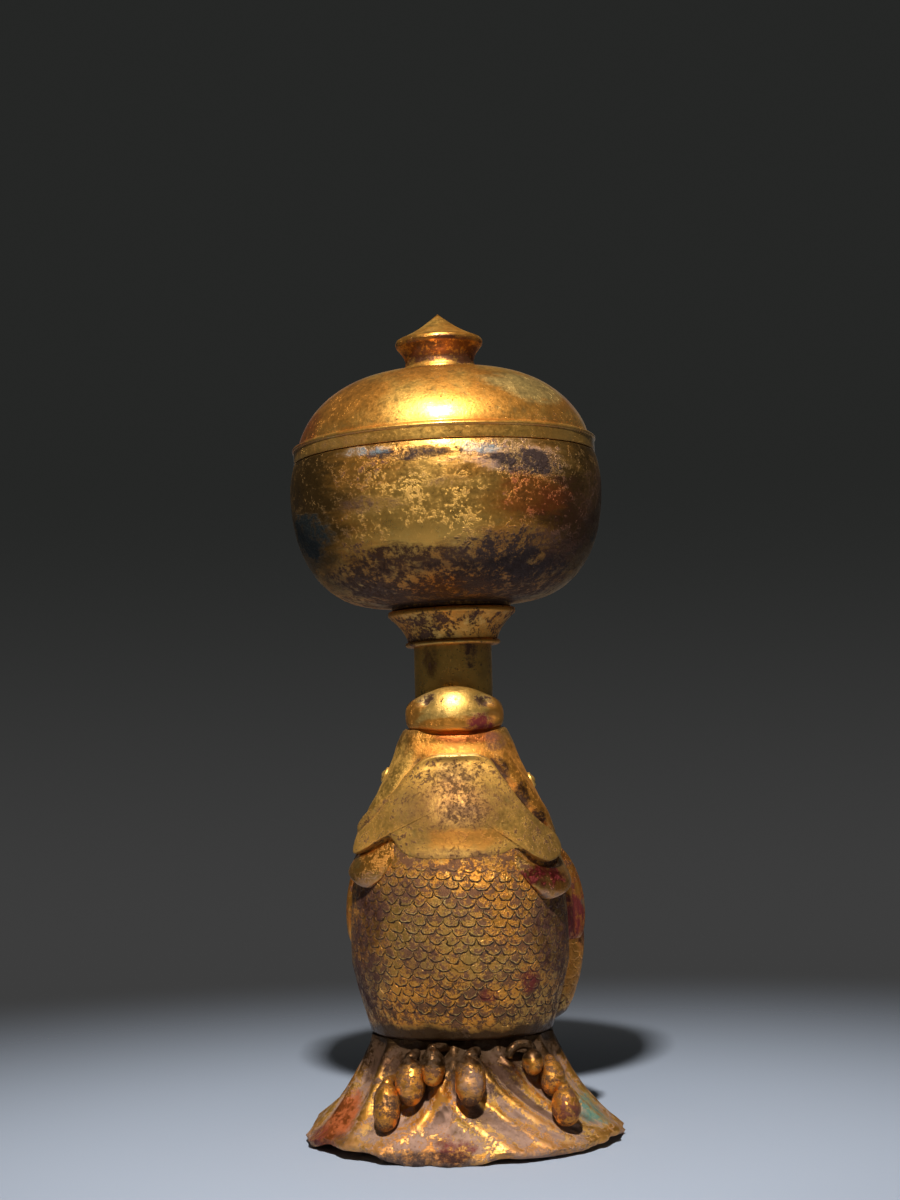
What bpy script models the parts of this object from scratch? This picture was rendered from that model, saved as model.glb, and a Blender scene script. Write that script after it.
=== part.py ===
"""A gilt bronze covered bowl carried by an upright fish on a foot of waves.

The fish stands on its tail in the waves and holds a stem tube in its mouth. A flared collar slips over the
tube, the round bowl turns in the collar, and the domed lid lifts off the bowl by its pointed knob.

Metres, +Z up, the origin under the middle of the foot. The fish shows its chin and belly to -Y.
Angles round the stand are measured from the front: 0 is -Y and 90 degrees is +X.
"""

import math

import bmesh
import bpy
from mathutils import Matrix, Vector

# ---------------------------------------------------------------- driving dimensions
SEAT_GAP = 0.0003  # between two castings that sit on each other
PATCH_GAP = 0.0006  # between the fish's round surface and a plate, cover or fin that follows it
ROUND_STEPS = 36  # facets round the bowl and the lid
SMALL_ROUND_STEPS = 24  # facets round the tube, collar and knob

# Foot of waves
FOOT_RADIUS = 0.0545
FOOT_HEIGHT = 0.0365
FOOT_NECK_RADIUS = 0.0318
FOOT_WALL = 0.0030
FOOT_SPIGOT_HEIGHT = 0.0040  # ring that stands up inside the fish
RIM_EDGE = 0.0022  # height of the rim's upright edge
RIM_LIFT = 0.0042  # the rim waves up this far between the four places it rests on
REST_ANGLES = (-10.0, 95.0, 170.0, 275.0)
REST_HALF_ANGLE = 10.0
REST_SLOPE_ANGLE = 16.0
FOOT_STEPS = 72

# Ridges of the waves: angle at the neck, angle at the rim, height, half width in degrees
RIDGES = (
    (-62.0, -64.0, 0.0036, 6.0),
    (-46.0, -46.0, 0.0034, 5.0),
    (-9.0, -20.0, 0.0030, 8.0),
    (-4.0, 26.0, 0.0032, 5.5),
    (8.0, 44.0, 0.0034, 5.0),
    (22.0, 60.0, 0.0034, 5.0),
    (60.0, 78.0, 0.0030, 4.5),
    (76.0, 94.0, 0.0026, 4.5),
)

# Crests: the waves curl over into drops. Angle and height of the drop's middle, its half width and half height,
# and the angle and height of the root where the crest leaves the foot.
CRESTS = (
    (-33.6, 0.0130, 0.0040, 0.0086, -43.0, 0.0215),
    (-26.0, 0.0222, 0.0050, 0.0084, -35.5, 0.0305),
    (-14.8, 0.0278, 0.0040, 0.0062, -5.5, 0.0325),
    (2.8, 0.0245, 0.0050, 0.0080, 16.0, 0.0290),
    (38.8, 0.0275, 0.0033, 0.0040, 25.0, 0.0262),
    (48.6, 0.0226, 0.0040, 0.0045, 60.0, 0.0262),
    (45.5, 0.0136, 0.0038, 0.0044, 57.5, 0.0165),
)
CREST_ROOT_RADIUS = 0.0012
CREST_STANDOFF = 0.0014  # the drop's back clears the ridge behind it
CREST_SIDES = 7
CREST_RISE = 0.0028  # the curl rises this far over the drop before it falls
DROP_SLOPE = 0.50  # how far the drop leans out as it hangs
DROP_STEPS = (-0.96, -0.72, -0.30, 0.14, 0.55, 0.84, 0.98)

# Fish: (height, half width) of the belly, and (height, half width) of the back that swells out behind it
BODY_TOP = 0.1415
BODY_WALL = 0.0030
BELLY = (
    (0.0368, 0.0315), (0.0460, 0.0342), (0.0540, 0.0364), (0.0620, 0.0379), (0.0700, 0.0382), (0.0800, 0.0377),
    (0.0880, 0.0366), (0.0960, 0.0348), (0.1030, 0.0333), (0.1095, 0.0320), (0.1210, 0.0272), (0.1310, 0.0223),
    (0.1370, 0.0202), (0.1415, 0.0180),
)
BACK = (
    (0.0368, 0.0290), (0.0400, 0.0345), (0.0490, 0.0386), (0.0565, 0.0405), (0.0650, 0.0414), (0.0760, 0.0405),
    (0.0870, 0.0384), (0.0940, 0.0360), (0.1045, 0.0310), (0.1160, 0.0240), (0.1300, 0.0150), (0.1415, 0.0090),
)
BELLY_DEPTH = 1.03  # depth over width of the belly's section
BACK_DEPTH = 0.0245  # half depth of the back's section at its widest
BACK_SHIFT_X = 0.0035
BACK_SHIFT_Y = 0.0235
CREASE_ROUND = 0.0008
BODY_STEPS = 42
BODY_RINGS = 17
FEATURE_SKEW = 0.06  # the head's right side sits lower: drop per metre of sideways distance

# Stem tube held in the mouth
TUBE_RADIUS = 0.0137
TUBE_WALL = 0.0022
TUBE_TOP = 0.1788
TUBE_SEAT_DEPTH = 0.0140  # how far the tube goes down into the throat
TUBE_CLEARANCE = 0.0003
THROAT_LEDGE = 0.0030  # width of the ledge that the tube stands on

# Lip round the tube
LIP_HEIGHT = 0.0146
LIP_SIDE_RADIUS = 0.0172
LIP_FRONT_RADIUS = 0.0222
NOSTRIL_RADIUS = 0.0026
NOSTRIL_ANGLE = 31.0

# Chin plate and gill covers
PLATE_TOP = 0.1305
PLATE_TOP_DROP = 0.0030
PLATE_BOTTOM = 0.0985
PLATE_LOBE_BOTTOM = 0.0962
PLATE_THICK = 0.0017
PLATE_EDGE_THIN = 0.0006
COVER_THICK = 0.0026
COVER_END_THICK = 0.0007

# Eyes and fins
EYE_RADIUS = 0.0031
EYE_HEIGHT = 0.0020
EYE_ANGLE = 88.0
EYE_Z = 0.1242
PECTORAL_ANGLE = 106.0
PECTORAL_TOP = 0.0985
PECTORAL_LENGTH = 0.0330
PECTORAL_HALF_ANGLE = 9.0
PECTORAL_THICK = 0.0034
DORSAL_TOP = 0.1120
DORSAL_BOTTOM = 0.0440
DORSAL_HEIGHT = 0.0060
DORSAL_THICK = 0.0030
DORSAL_RAYS = 11

# Bowl group, which leans a little on the tube
LEAN_DEG = 1.2
SOCKET_DEPTH = 0.0090
SOCKET_CLEARANCE = 0.0005
COLLAR_WEB = 0.0016
COLLAR_TOP_RADIUS = 0.0225
COLLAR_NECK_RADIUS = 0.0158
COLLAR_BEAD = 0.0009
COLLAR_CUP_HEIGHT = 0.0023  # from the web up to the rim that the bowl sits on
COLLAR_RIM_WIDTH = 0.0036
WEB_HOLE_RADIUS = 0.0090
BOSS_CLEARANCE = 0.0004

BOWL_RADIUS = 0.0553
BOWL_DRAW_IN = 0.0017  # the mouth is this much narrower than the belly
BOWL_MOUTH_RADIUS = BOWL_RADIUS - BOWL_DRAW_IN
BOWL_WALL = 0.0022
BOWL_HEIGHT = 0.0530  # from the foot ring to the rim
BOWL_BELLY_HEIGHT = 0.0422  # from the foot ring to the widest place
FOOT_RING_RADIUS = 0.0212
FOOT_RING_HEIGHT = 0.0016
FOOT_RING_WIDTH = 0.0026
BOSS_LENGTH = 0.0034

LID_BAND_HEIGHT = 0.0048
LID_BEAD = 0.0006
LID_SHOULDER = 0.0020  # step in from the band to the foot of the dome
LID_DOME_RADIUS = BOWL_MOUTH_RADIUS - LID_SHOULDER
LID_DOME_FULLNESS = (0.90, 1.25)  # powers of the dome's radius and height: more is flatter at the shoulder
LID_HEIGHT = 0.0310
LID_WALL = 0.0020
FLANGE_DEPTH = 0.0065
FLANGE_WALL = 0.0018
FLANGE_CLEARANCE = 0.0005
LID_CROWN_RADIUS = 0.0135  # flat middle of the lid, which the knob sits on

KNOB_RIM_RADIUS = 0.0157
KNOB_NECK_RADIUS = 0.0122
KNOB_FOOT_RADIUS = 0.0131
KNOB_NECK_HEIGHT = 0.0068
KNOB_RIM_HEIGHT = 0.0115
KNOB_HEIGHT = 0.0215
SHANK_RADIUS = 0.0030
SHANK_CLEARANCE = 0.0003
WASHER_RADIUS = 0.0075
WASHER_THICK = 0.0012
RIVET_HEAD_RADIUS = 0.0052
RIVET_HEAD_HEIGHT = 0.0018

# Gilding and bare bronze, as base colour, roughness and metallic value
GILT = ((0.72, 0.45, 0.14), 0.34, 1.0)
GILT_WORN = ((0.55, 0.36, 0.15), 0.42, 1.0)
GILT_RED = ((0.60, 0.27, 0.10), 0.42, 0.9)
BRONZE = ((0.30, 0.19, 0.13), 0.55, 0.8)


# ---------------------------------------------------------------- shape helpers
def through(points, at):
    """Height of a smooth curve through (position, value) points, with no overshoot between them."""
    xs = [p[0] for p in points]
    ys = [p[1] for p in points]
    if at <= xs[0]:
        return ys[0]
    if at >= xs[-1]:
        return ys[-1]
    slopes = [(ys[i + 1] - ys[i]) / (xs[i + 1] - xs[i]) for i in range(len(xs) - 1)]
    tangents = [slopes[0]]
    for before, after in zip(slopes, slopes[1:]):
        tangents.append(0.0 if before * after <= 0 else 2 * before * after / (before + after))
    tangents.append(slopes[-1])
    i = max(k for k in range(len(xs) - 1) if xs[k] <= at)
    width = xs[i + 1] - xs[i]
    t = (at - xs[i]) / width
    return (
        (2 * t**3 - 3 * t**2 + 1) * ys[i]
        + (t**3 - 2 * t**2 + t) * width * tangents[i]
        + (3 * t**2 - 2 * t**3) * ys[i + 1]
        + (t**3 - t**2) * width * tangents[i + 1]
    )


def smooth_step(t):
    """0 below 0, 1 above 1, and an easy slope between."""
    t = min(1.0, max(0.0, t))
    return t * t * (3 - 2 * t)


def turn_between(a, b):
    """The smallest turn in degrees from angle b to angle a."""
    return (a - b + 180.0) % 360.0 - 180.0


def polar(radius, angle, z):
    """A point at an angle round the stand, in degrees from the front."""
    return Vector((radius * math.sin(math.radians(angle)), -radius * math.cos(math.radians(angle)), z))


def spaced(low, high, count):
    """Evenly spaced values from low to high, both included."""
    return [low + (high - low) * i / (count - 1) for i in range(count)]


def arc(centre_r, centre_z, radius_r, radius_z, start, end, count):
    """Points along an elliptical arc of a turned profile, as (radius, height)."""
    return [
        (centre_r + radius_r * math.cos(math.radians(a)), centre_z + radius_z * math.sin(math.radians(a)))
        for a in spaced(start, end, count)
    ]


def material(name, finish):
    """A plain metal finish from its colour, roughness and metallic value."""
    colour, roughness, metallic = finish
    made = bpy.data.materials.new(name)
    made.use_nodes = True
    shader = made.node_tree.nodes["Principled BSDF"]
    shader.inputs["Base Color"].default_value = (*colour, 1.0)
    shader.inputs["Roughness"].default_value = roughness
    shader.inputs["Metallic"].default_value = metallic
    made.diffuse_color = (*colour, 1.0)
    return made


def finish_mesh(name, bm, finish, parent=None, sharp_degrees=35.0):
    """Turns a bmesh into a smooth-shaded object with its own material."""
    bmesh.ops.remove_doubles(bm, verts=bm.verts, dist=1e-6)
    bmesh.ops.recalc_face_normals(bm, faces=bm.faces)
    mesh = bpy.data.meshes.new(name)
    bm.to_mesh(mesh)
    bm.free()
    mesh.shade_smooth()
    mesh.set_sharp_from_angle(angle=math.radians(sharp_degrees))
    mesh.materials.append(material(name + "_finish", finish))
    made = bpy.data.objects.new(name, mesh)
    bpy.context.scene.collection.objects.link(made)
    made.parent = parent
    return made


def turned(name, profile, finish, parent=None, steps=ROUND_STEPS):
    """A profile of (radius, height) spun round Z. A profile that starts off the axis is closed into a ring."""
    bm = bmesh.new()
    points = [bm.verts.new((r, 0.0, z)) for r, z in profile]
    edges = [bm.edges.new(pair) for pair in zip(points, points[1:])]
    if profile[0][0] > 0:
        edges.append(bm.edges.new((points[-1], points[0])))
    bmesh.ops.spin(
        bm, geom=points + edges, cent=(0, 0, 0), axis=(0, 0, 1), angle=2 * math.pi, steps=steps, use_merge=True
    )
    return finish_mesh(name, bm, finish, parent)


def loft(bm, rings, close_ends=False):
    """Skins closed rings of points in turn. The last ring joins the first unless the ends are capped."""
    rows = [[bm.verts.new(p) for p in ring] for ring in rings]
    pairs = list(zip(rows, rows[1:]))
    if not close_ends:
        pairs.append((rows[-1], rows[0]))
    count = len(rows[0])
    for low, high in pairs:
        for i in range(count):
            j = (i + 1) % count
            bm.faces.new((low[i], low[j], high[j], high[i]))
    if close_ends:
        bm.faces.new(rows[0])
        bm.faces.new(rows[-1])


def slab(bm, outer, inner):
    """A closed plate between two grids of points of the same size, one above the other."""
    grids = [[[bm.verts.new(p) for p in row] for row in grid] for grid in (outer, inner)]
    rows, columns = len(outer), len(outer[0])
    for grid in grids:
        for i in range(rows - 1):
            for j in range(columns - 1):
                bm.faces.new((grid[i][j], grid[i + 1][j], grid[i + 1][j + 1], grid[i][j + 1]))
    top, bottom = grids
    border = [(0, j) for j in range(columns)] + [(i, columns - 1) for i in range(1, rows)]
    border += [(rows - 1, j) for j in range(columns - 2, -1, -1)] + [(i, 0) for i in range(rows - 2, 0, -1)]
    for (i, j), (k, m) in zip(border, border[1:] + border[:1]):
        bm.faces.new((top[i][j], top[k][m], bottom[k][m], bottom[i][j]))


# ---------------------------------------------------------------- foot of waves
def rim_height(angle):
    """Height of the rim's underside: nothing on the four rests, and lifted between them."""
    away = min(abs(turn_between(angle, rest)) for rest in REST_ANGLES)
    return RIM_LIFT * smooth_step((away - REST_HALF_ANGLE) / REST_SLOPE_ANGLE)


def ridge_height(angle, share):
    """How far the waves stand out at a share of the way from neck to rim. The back half repeats the front."""
    sweep = share**1.6
    total = 0.0
    for half_turn in (0.0, 180.0):
        for neck, rim, height, width in RIDGES:
            middle = neck + (rim - neck) * sweep + half_turn
            total += height * math.exp(-((turn_between(angle, middle) / width) ** 2))
    return total * math.sin(math.pi * (0.10 + 0.85 * share))


def foot_level(angle, share):
    """Height on the foot's outside at a share of the way from the neck to the rim."""
    return FOOT_HEIGHT - share * (FOOT_HEIGHT - RIM_EDGE - rim_height(angle))


def foot_flare(share):
    """Radius of the plain flare under the waves, at a share of the way from the neck to the rim."""
    return FOOT_NECK_RADIUS + (FOOT_RADIUS - FOOT_NECK_RADIUS) * (0.08 * share + 0.92 * share**2.2)


def foot_radius(angle, z):
    """Outer radius of the foot: the flare with the wave ridges on it."""
    share = min(1.0, max(0.0, (FOOT_HEIGHT - z) / (FOOT_HEIGHT - foot_level(angle, 1.0))))
    return foot_flare(share) + ridge_height(angle, share)


def build_foot():
    """The foot is one casting: ridged flare outside, an even wall, and open underneath."""
    angles = [360.0 * i / FOOT_STEPS for i in range(FOOT_STEPS)]
    spigot_radius = body_inner_radius_at_foot() - SEAT_GAP
    bore_radius = spigot_radius - FOOT_WALL
    spigot_top = FOOT_HEIGHT + FOOT_SPIGOT_HEIGHT

    def circle(radius, z):
        return [polar(radius, a, z) for a in angles]

    rings = [circle(bore_radius, spigot_top), circle(spigot_radius, spigot_top)]
    rings.append(circle(spigot_radius, FOOT_HEIGHT))
    for share in (0.0, 0.20, 0.38, 0.55, 0.70, 0.85, 1.0):
        rings.append([polar(foot_radius(a, foot_level(a, share)), a, foot_level(a, share)) for a in angles])
    rings.append([polar(FOOT_RADIUS - RIM_EDGE / 2, a, rim_height(a)) for a in angles])
    under = FOOT_HEIGHT - FOOT_WALL
    for share in (1.0, 0.72, 0.40, 0.0):
        radius = foot_flare(share) - FOOT_WALL * 1.1
        rings.append([polar(radius, a, under - share * (under - rim_height(a))) for a in angles])
    rings.append(circle(bore_radius, under))
    bm = bmesh.new()
    loft(bm, rings)
    return finish_mesh("wave_foot", bm, GILT_WORN)


def clear_of_foot(angle, z, size):
    """Where the middle of a level circle of this size stands when the circle just clears the foot."""
    stand = 0.0
    for way in (-60.0, -30.0, 0.0, 30.0, 60.0):
        aside = size * math.sin(math.radians(way))
        behind = foot_radius(angle + math.degrees(aside / FOOT_RADIUS), z) + CREST_STANDOFF
        stand = max(stand, math.sqrt(behind**2 - aside**2) + size * math.cos(math.radians(way)))
    return polar(stand, angle, z)


def crest_path(angle, z, half_width, half_height, root_angle, root_z):
    """Middle line and radii of one crest: out of the foot at its root, over in a curl, and down to the drop."""
    sizes = [max(CREST_ROOT_RADIUS * 0.9, half_width * math.sqrt(1 - t * t)) for t in DROP_STEPS]
    stand = 0.0
    for t, size in zip(DROP_STEPS, sizes):
        point = clear_of_foot(angle, z - half_height * t, size)
        stand = max(stand, math.hypot(point.x, point.y) - DROP_SLOPE * half_height * t)
    drop = []
    for t in DROP_STEPS:
        reach = stand + DROP_SLOPE * half_height * t
        drop.append(polar(reach, angle * stand / reach, z - half_height * t))
    root = clear_of_foot(root_angle, root_z, CREST_ROOT_RADIUS * 1.15)
    control = 2 * (max(root.z, drop[0].z) + CREST_RISE) - (root.z + drop[0].z) / 2
    stem = []
    for t in (0.0, 0.20, 0.40, 0.60, 0.80):
        point = root + (drop[0] - root) * (1 - math.cos(math.pi * t)) / 2
        point.z = root.z * (1 - t) ** 2 + control * 2 * t * (1 - t) + drop[0].z * t**2
        stem.append(point)
    tip = drop[-1] + (drop[-1] - drop[-2]).normalized() * half_width * 0.12
    return stem + drop + [tip], [CREST_ROOT_RADIUS] * len(stem) + sizes + [half_width * 0.18]


def crest_rings(path, radii, sides):
    """Circles of the given radii, square to the path."""
    rings = []
    previous = None
    for i, (point, radius) in enumerate(zip(path, radii)):
        ahead = path[min(i + 1, len(path) - 1)]
        behind = path[max(i - 1, 0)]
        along = (ahead - behind).normalized()
        across = previous if previous is not None else Vector((0, 0, 1)).cross(along)
        across = (across - along * across.dot(along)).normalized()
        previous = across
        up = along.cross(across)
        turns = [2 * math.pi * k / sides for k in range(sides)]
        rings.append([point + (across * math.cos(a) + up * math.sin(a)) * radius for a in turns])
    return rings


def build_crests(side, half_turn):
    """Seven crests whose curls end in round drops, each its own casting pinned to the foot at its root."""
    for number, (angle, z, half_width, half_height, root_angle, root_z) in enumerate(CRESTS, start=1):
        points, radii = crest_path(angle, z, half_width, half_height, root_angle, root_z)
        bm = bmesh.new()
        loft(bm, crest_rings(points, radii, CREST_SIDES), close_ends=True)
        turn = Matrix.Rotation(math.radians(half_turn), 3, "Z")
        bmesh.ops.rotate(bm, verts=bm.verts, cent=(0, 0, 0), matrix=turn)
        finish_mesh(f"wave_crest_{side}_{number}", bm, GILT, sharp_degrees=60.0)


# ---------------------------------------------------------------- fish
def ellipse_reach(angle, half_x, half_y, centre_x, centre_y):
    """Distance from the axis to the far side of an ellipse in one direction, or 0 where it is missed."""
    dx, dy = math.sin(math.radians(angle)), -math.cos(math.radians(angle))
    a = (dx / half_x) ** 2 + (dy / half_y) ** 2
    b = dx * centre_x / half_x**2 + dy * centre_y / half_y**2
    c = (centre_x / half_x) ** 2 + (centre_y / half_y) ** 2 - 1
    inside = b * b - a * c
    return (b + math.sqrt(inside)) / a if inside > 0 else 0.0


def body_radius(angle, z):
    """Outer radius of the fish: the belly's section joined to the back's in a rounded crease."""
    width = through(BELLY, z)
    back = through(BACK, z)
    share = back / max(v for _, v in BACK)
    belly = ellipse_reach(angle, width, width * BELLY_DEPTH, 0.0, 0.0)
    behind = ellipse_reach(angle, back, BACK_DEPTH * share, BACK_SHIFT_X * share, BACK_SHIFT_Y * share**1.5)
    larger, smaller = max(belly, behind), min(belly, behind)
    return larger + CREASE_ROUND * math.exp(-(larger - smaller) / CREASE_ROUND)


def body_heights():
    """Heights of the rings of facets on the fish's outside."""
    return spaced(FOOT_HEIGHT + SEAT_GAP, BODY_TOP, BODY_RINGS)


def facet_radius(angle, z):
    """Radius of the fish's faceted outside, which the pieces that lie on it follow."""
    pitch = 360.0 / BODY_STEPS
    first = math.floor(angle / pitch) * pitch
    heights = body_heights()
    k = min(BODY_RINGS - 2, max(0, int((z - heights[0]) / (heights[1] - heights[0]))))
    share = (z - heights[k]) / (heights[k + 1] - heights[k])
    near, far = (
        body_radius(a, heights[k]) * (1 - share) + body_radius(a, heights[k + 1]) * share
        for a in (first, first + pitch)
    )
    into = math.radians(angle - first)
    left = math.radians(pitch) - into
    return near * far * math.sin(math.radians(pitch)) / (near * math.sin(into) + far * math.sin(left))


def body_inner_radius_at_foot():
    """Radius of the fish's open lower end, which the foot's spigot fits."""
    return BELLY[0][1] - BODY_WALL


def throat_radius():
    """The throat's bore round the tube."""
    return TUBE_RADIUS + TUBE_CLEARANCE


def build_body():
    """The fish's hollow casting: head and trunk outside, a throat that seats the tube, open at the tail."""
    angles = [360.0 * i / BODY_STEPS for i in range(BODY_STEPS)]
    bottom = FOOT_HEIGHT + SEAT_GAP
    heights = body_heights()

    def circle(radius, z):
        return [polar(radius, a, z) for a in angles]

    def inner(z):
        return [polar(body_radius(a, z) - BODY_WALL, a, z) for a in angles]

    ledge_z = BODY_TOP - TUBE_SEAT_DEPTH
    throat_bottom = ledge_z - BODY_WALL
    ledge_radius = TUBE_RADIUS - THROAT_LEDGE
    rings = [[polar(body_radius(a, z), a, z) for a in angles] for z in heights]
    rings += [
        circle(throat_radius(), BODY_TOP),
        circle(throat_radius(), ledge_z),
        circle(ledge_radius, ledge_z),
        circle(ledge_radius, throat_bottom),
        circle(throat_radius() + BODY_WALL * 0.6, throat_bottom),
    ]
    for share in (0.966, 0.86, 0.72, 0.54, 0.34, 0.17):
        rings.append(inner(bottom + (throat_bottom - bottom) * share))
    lower_end = bottom + FOOT_SPIGOT_HEIGHT + BODY_WALL
    rings.append(circle(body_inner_radius_at_foot(), lower_end))
    rings.append(circle(body_inner_radius_at_foot(), bottom))
    bm = bmesh.new()
    loft(bm, rings)
    return finish_mesh("fish_body", bm, GILT_WORN)


def on_head(angle, z, stand_off):
    """A point that stands off the fish's surface, on the head's slightly skewed level."""
    level = z - FEATURE_SKEW * through(BELLY, z) * math.sin(math.radians(angle))
    return polar(facet_radius(angle, level) + PATCH_GAP + stand_off, angle, level)


def build_lip():
    """The lip: a roll round the tube that swells into a snout at the front, with two nostril pits."""
    bottom = BODY_TOP + SEAT_GAP
    bore = throat_radius()
    section = arc(0.0, 0.5, 1.0, 0.5, -90.0, 90.0, 8)
    rings = []
    for i in range(SMALL_ROUND_STEPS):
        angle = 360.0 * i / SMALL_ROUND_STEPS
        front = max(0.0, math.cos(math.radians(angle))) ** 1.5
        reach = LIP_SIDE_RADIUS + (LIP_FRONT_RADIUS - LIP_SIDE_RADIUS) * front
        height = LIP_HEIGHT * (0.72 + 0.28 * front)
        core = bore + 0.0006
        ring = [polar(bore, angle, bottom), polar(bore, angle, bottom + height)]
        for r, z in reversed(section[:-1]):
            ring.append(polar(core + (reach - core) * r**0.7, angle, bottom + height * z))
        rings.append(ring)
    bm = bmesh.new()
    loft(bm, rings)
    lip = finish_mesh("mouth_lip", bm, GILT)
    for side, sign in (("left", -1), ("right", 1)):
        pit = bmesh.new()
        bmesh.ops.create_uvsphere(pit, u_segments=12, v_segments=8, radius=NOSTRIL_RADIUS)
        angle = sign * NOSTRIL_ANGLE
        centre = polar(LIP_FRONT_RADIUS - NOSTRIL_RADIUS * 1.25, angle, bottom + LIP_HEIGHT * 0.86)
        bmesh.ops.translate(pit, verts=pit.verts, vec=centre)
        cutter = finish_mesh("nostril_cutter_" + side, pit, BRONZE)
        cutter.hide_render = True
        cutter.display_type = "WIRE"
        cut = lip.modifiers.new("nostril_" + side, "BOOLEAN")
        cut.operation = "DIFFERENCE"
        cut.object = cutter
    return lip


def build_chin_plate():
    """The shield under the jaw: proud top and side edges, and a lobe at each lower corner."""
    columns, rows = 21, 8
    half_angles = (
        (0.0, 33.0), (0.18, 37.0), (0.35, 42.0), (0.52, 50.0), (0.70, 63.0), (0.84, 77.0), (1.0, 79.0),
    )
    outer, inner = [], []
    for t in spaced(0.0, 1.0, rows):
        outer_row, inner_row = [], []
        for s in spaced(-1.0, 1.0, columns):
            top = PLATE_TOP - PLATE_TOP_DROP * s * s
            lobe = math.exp(-(((abs(s) - 0.86) / 0.17) ** 2))
            bottom = PLATE_BOTTOM + 0.0030 * math.sin(math.pi * min(1.0, abs(s))) ** 2
            bottom += (PLATE_LOBE_BOTTOM - bottom) * lobe
            z = top + (bottom - top) * t
            angle = s * through(half_angles, t)
            fade = PLATE_EDGE_THIN + (1 - PLATE_EDGE_THIN / PLATE_THICK) * PLATE_THICK * max(1 - t**3, lobe)
            outer_row.append(on_head(angle, z, fade))
            inner_row.append(on_head(angle, z, 0.0))
        outer.append(outer_row)
        inner.append(inner_row)
    bm = bmesh.new()
    slab(bm, outer, inner)
    return finish_mesh("chin_plate", bm, GILT_WORN)


# Gill cover: along its length, the angle and height of the edge beside the chin plate and of the outer edge
COVER_INNER = (
    (0.0, 84.5, 0.1060), (0.2, 87.5, 0.0985), (0.4, 83.0, 0.0938),
    (0.6, 68.0, 0.0930), (0.8, 54.0, 0.0945), (1.0, 42.0, 0.0962),
)
COVER_OUTER = (
    (0.0, 88.5, 0.1085), (0.2, 97.0, 0.0985), (0.4, 96.0, 0.0895),
    (0.6, 62.0, 0.0835), (0.8, 46.0, 0.0872), (1.0, 37.0, 0.0925),
)


def build_gill_cover(name, sign):
    """A crescent round the plate's lobe, fullest at its lower point."""
    outer, inner = [], []
    for t in spaced(0.0, 1.0, 17):
        near = [through([(p[0], p[k]) for p in COVER_INNER], t) for k in (1, 2)]
        far = [through([(p[0], p[k]) for p in COVER_OUTER], t) for k in (1, 2)]
        outer_row, inner_row = [], []
        for s in spaced(0.0, 1.0, 6):
            angle = sign * (near[0] + (far[0] - near[0]) * s)
            z = near[1] + (far[1] - near[1]) * s
            swell = math.sin(math.pi * (0.16 + 0.68 * s)) * math.sin(math.pi * (0.10 + 0.80 * t)) ** 0.7
            thick = COVER_END_THICK + (COVER_THICK - COVER_END_THICK) * swell
            outer_row.append(on_head(angle, z, thick))
            inner_row.append(on_head(angle, z, 0.0))
        outer.append(outer_row)
        inner.append(inner_row)
    bm = bmesh.new()
    slab(bm, outer, inner)
    return finish_mesh(name, bm, GILT_RED)


def surface_normal(angle, z):
    """Outward normal of the fish's surface at a place on the head."""
    step_angle, step_z = 1.0, 0.0005
    across = on_head(angle + step_angle, z, 0.0) - on_head(angle - step_angle, z, 0.0)
    up = on_head(angle, z + step_z, 0.0) - on_head(angle, z - step_z, 0.0)
    return across.cross(up).normalized()


def build_eye(name, sign):
    """A domed eye with a raised pupil, let in at the side of the head."""
    profile = [(0.0, 0.0), (EYE_RADIUS, 0.0)]
    profile += arc(0.0, EYE_HEIGHT * 0.25, EYE_RADIUS, EYE_HEIGHT * 0.75, 0.0, 62.0, 4)
    profile += [(EYE_RADIUS * 0.40, EYE_HEIGHT * 1.12), (0.0, EYE_HEIGHT * 1.2)]
    eye = turned(name, profile, GILT, steps=12)
    normal = surface_normal(sign * EYE_ANGLE, EYE_Z)
    eye.location = on_head(sign * EYE_ANGLE, EYE_Z, 0.0)
    eye.rotation_euler = normal.to_track_quat("Z", "Y").to_euler()
    return eye


def build_pectoral_fin(name, sign):
    """A leaf-shaped fin folded down along the flank behind the gill cover, with low rays."""
    outer, inner = [], []
    for t in spaced(0.0, 1.0, 9):
        spread = PECTORAL_HALF_ANGLE * (0.25 + 0.75 * math.sin(math.pi * (0.08 + 0.84 * t)) ** 0.8)
        outer_row, inner_row = [], []
        for i, s in enumerate(spaced(-1.0, 1.0, 7)):
            angle = sign * (PECTORAL_ANGLE + spread * s)
            z = PECTORAL_TOP - PECTORAL_LENGTH * t
            edge = 1 - 0.72 * abs(s) ** 2.5
            ray = 0.86 if i % 2 else 1.0
            thick = PECTORAL_THICK * edge * ray * (0.45 + 0.55 * math.sin(math.pi * (0.15 + 0.7 * t)))
            radius = facet_radius(angle, z) + PATCH_GAP
            outer_row.append(polar(radius + thick, angle, z))
            inner_row.append(polar(radius, angle, z))
        outer.append(outer_row)
        inner.append(inner_row)
    bm = bmesh.new()
    slab(bm, outer, inner)
    return finish_mesh(name, bm, GILT_RED)


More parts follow.
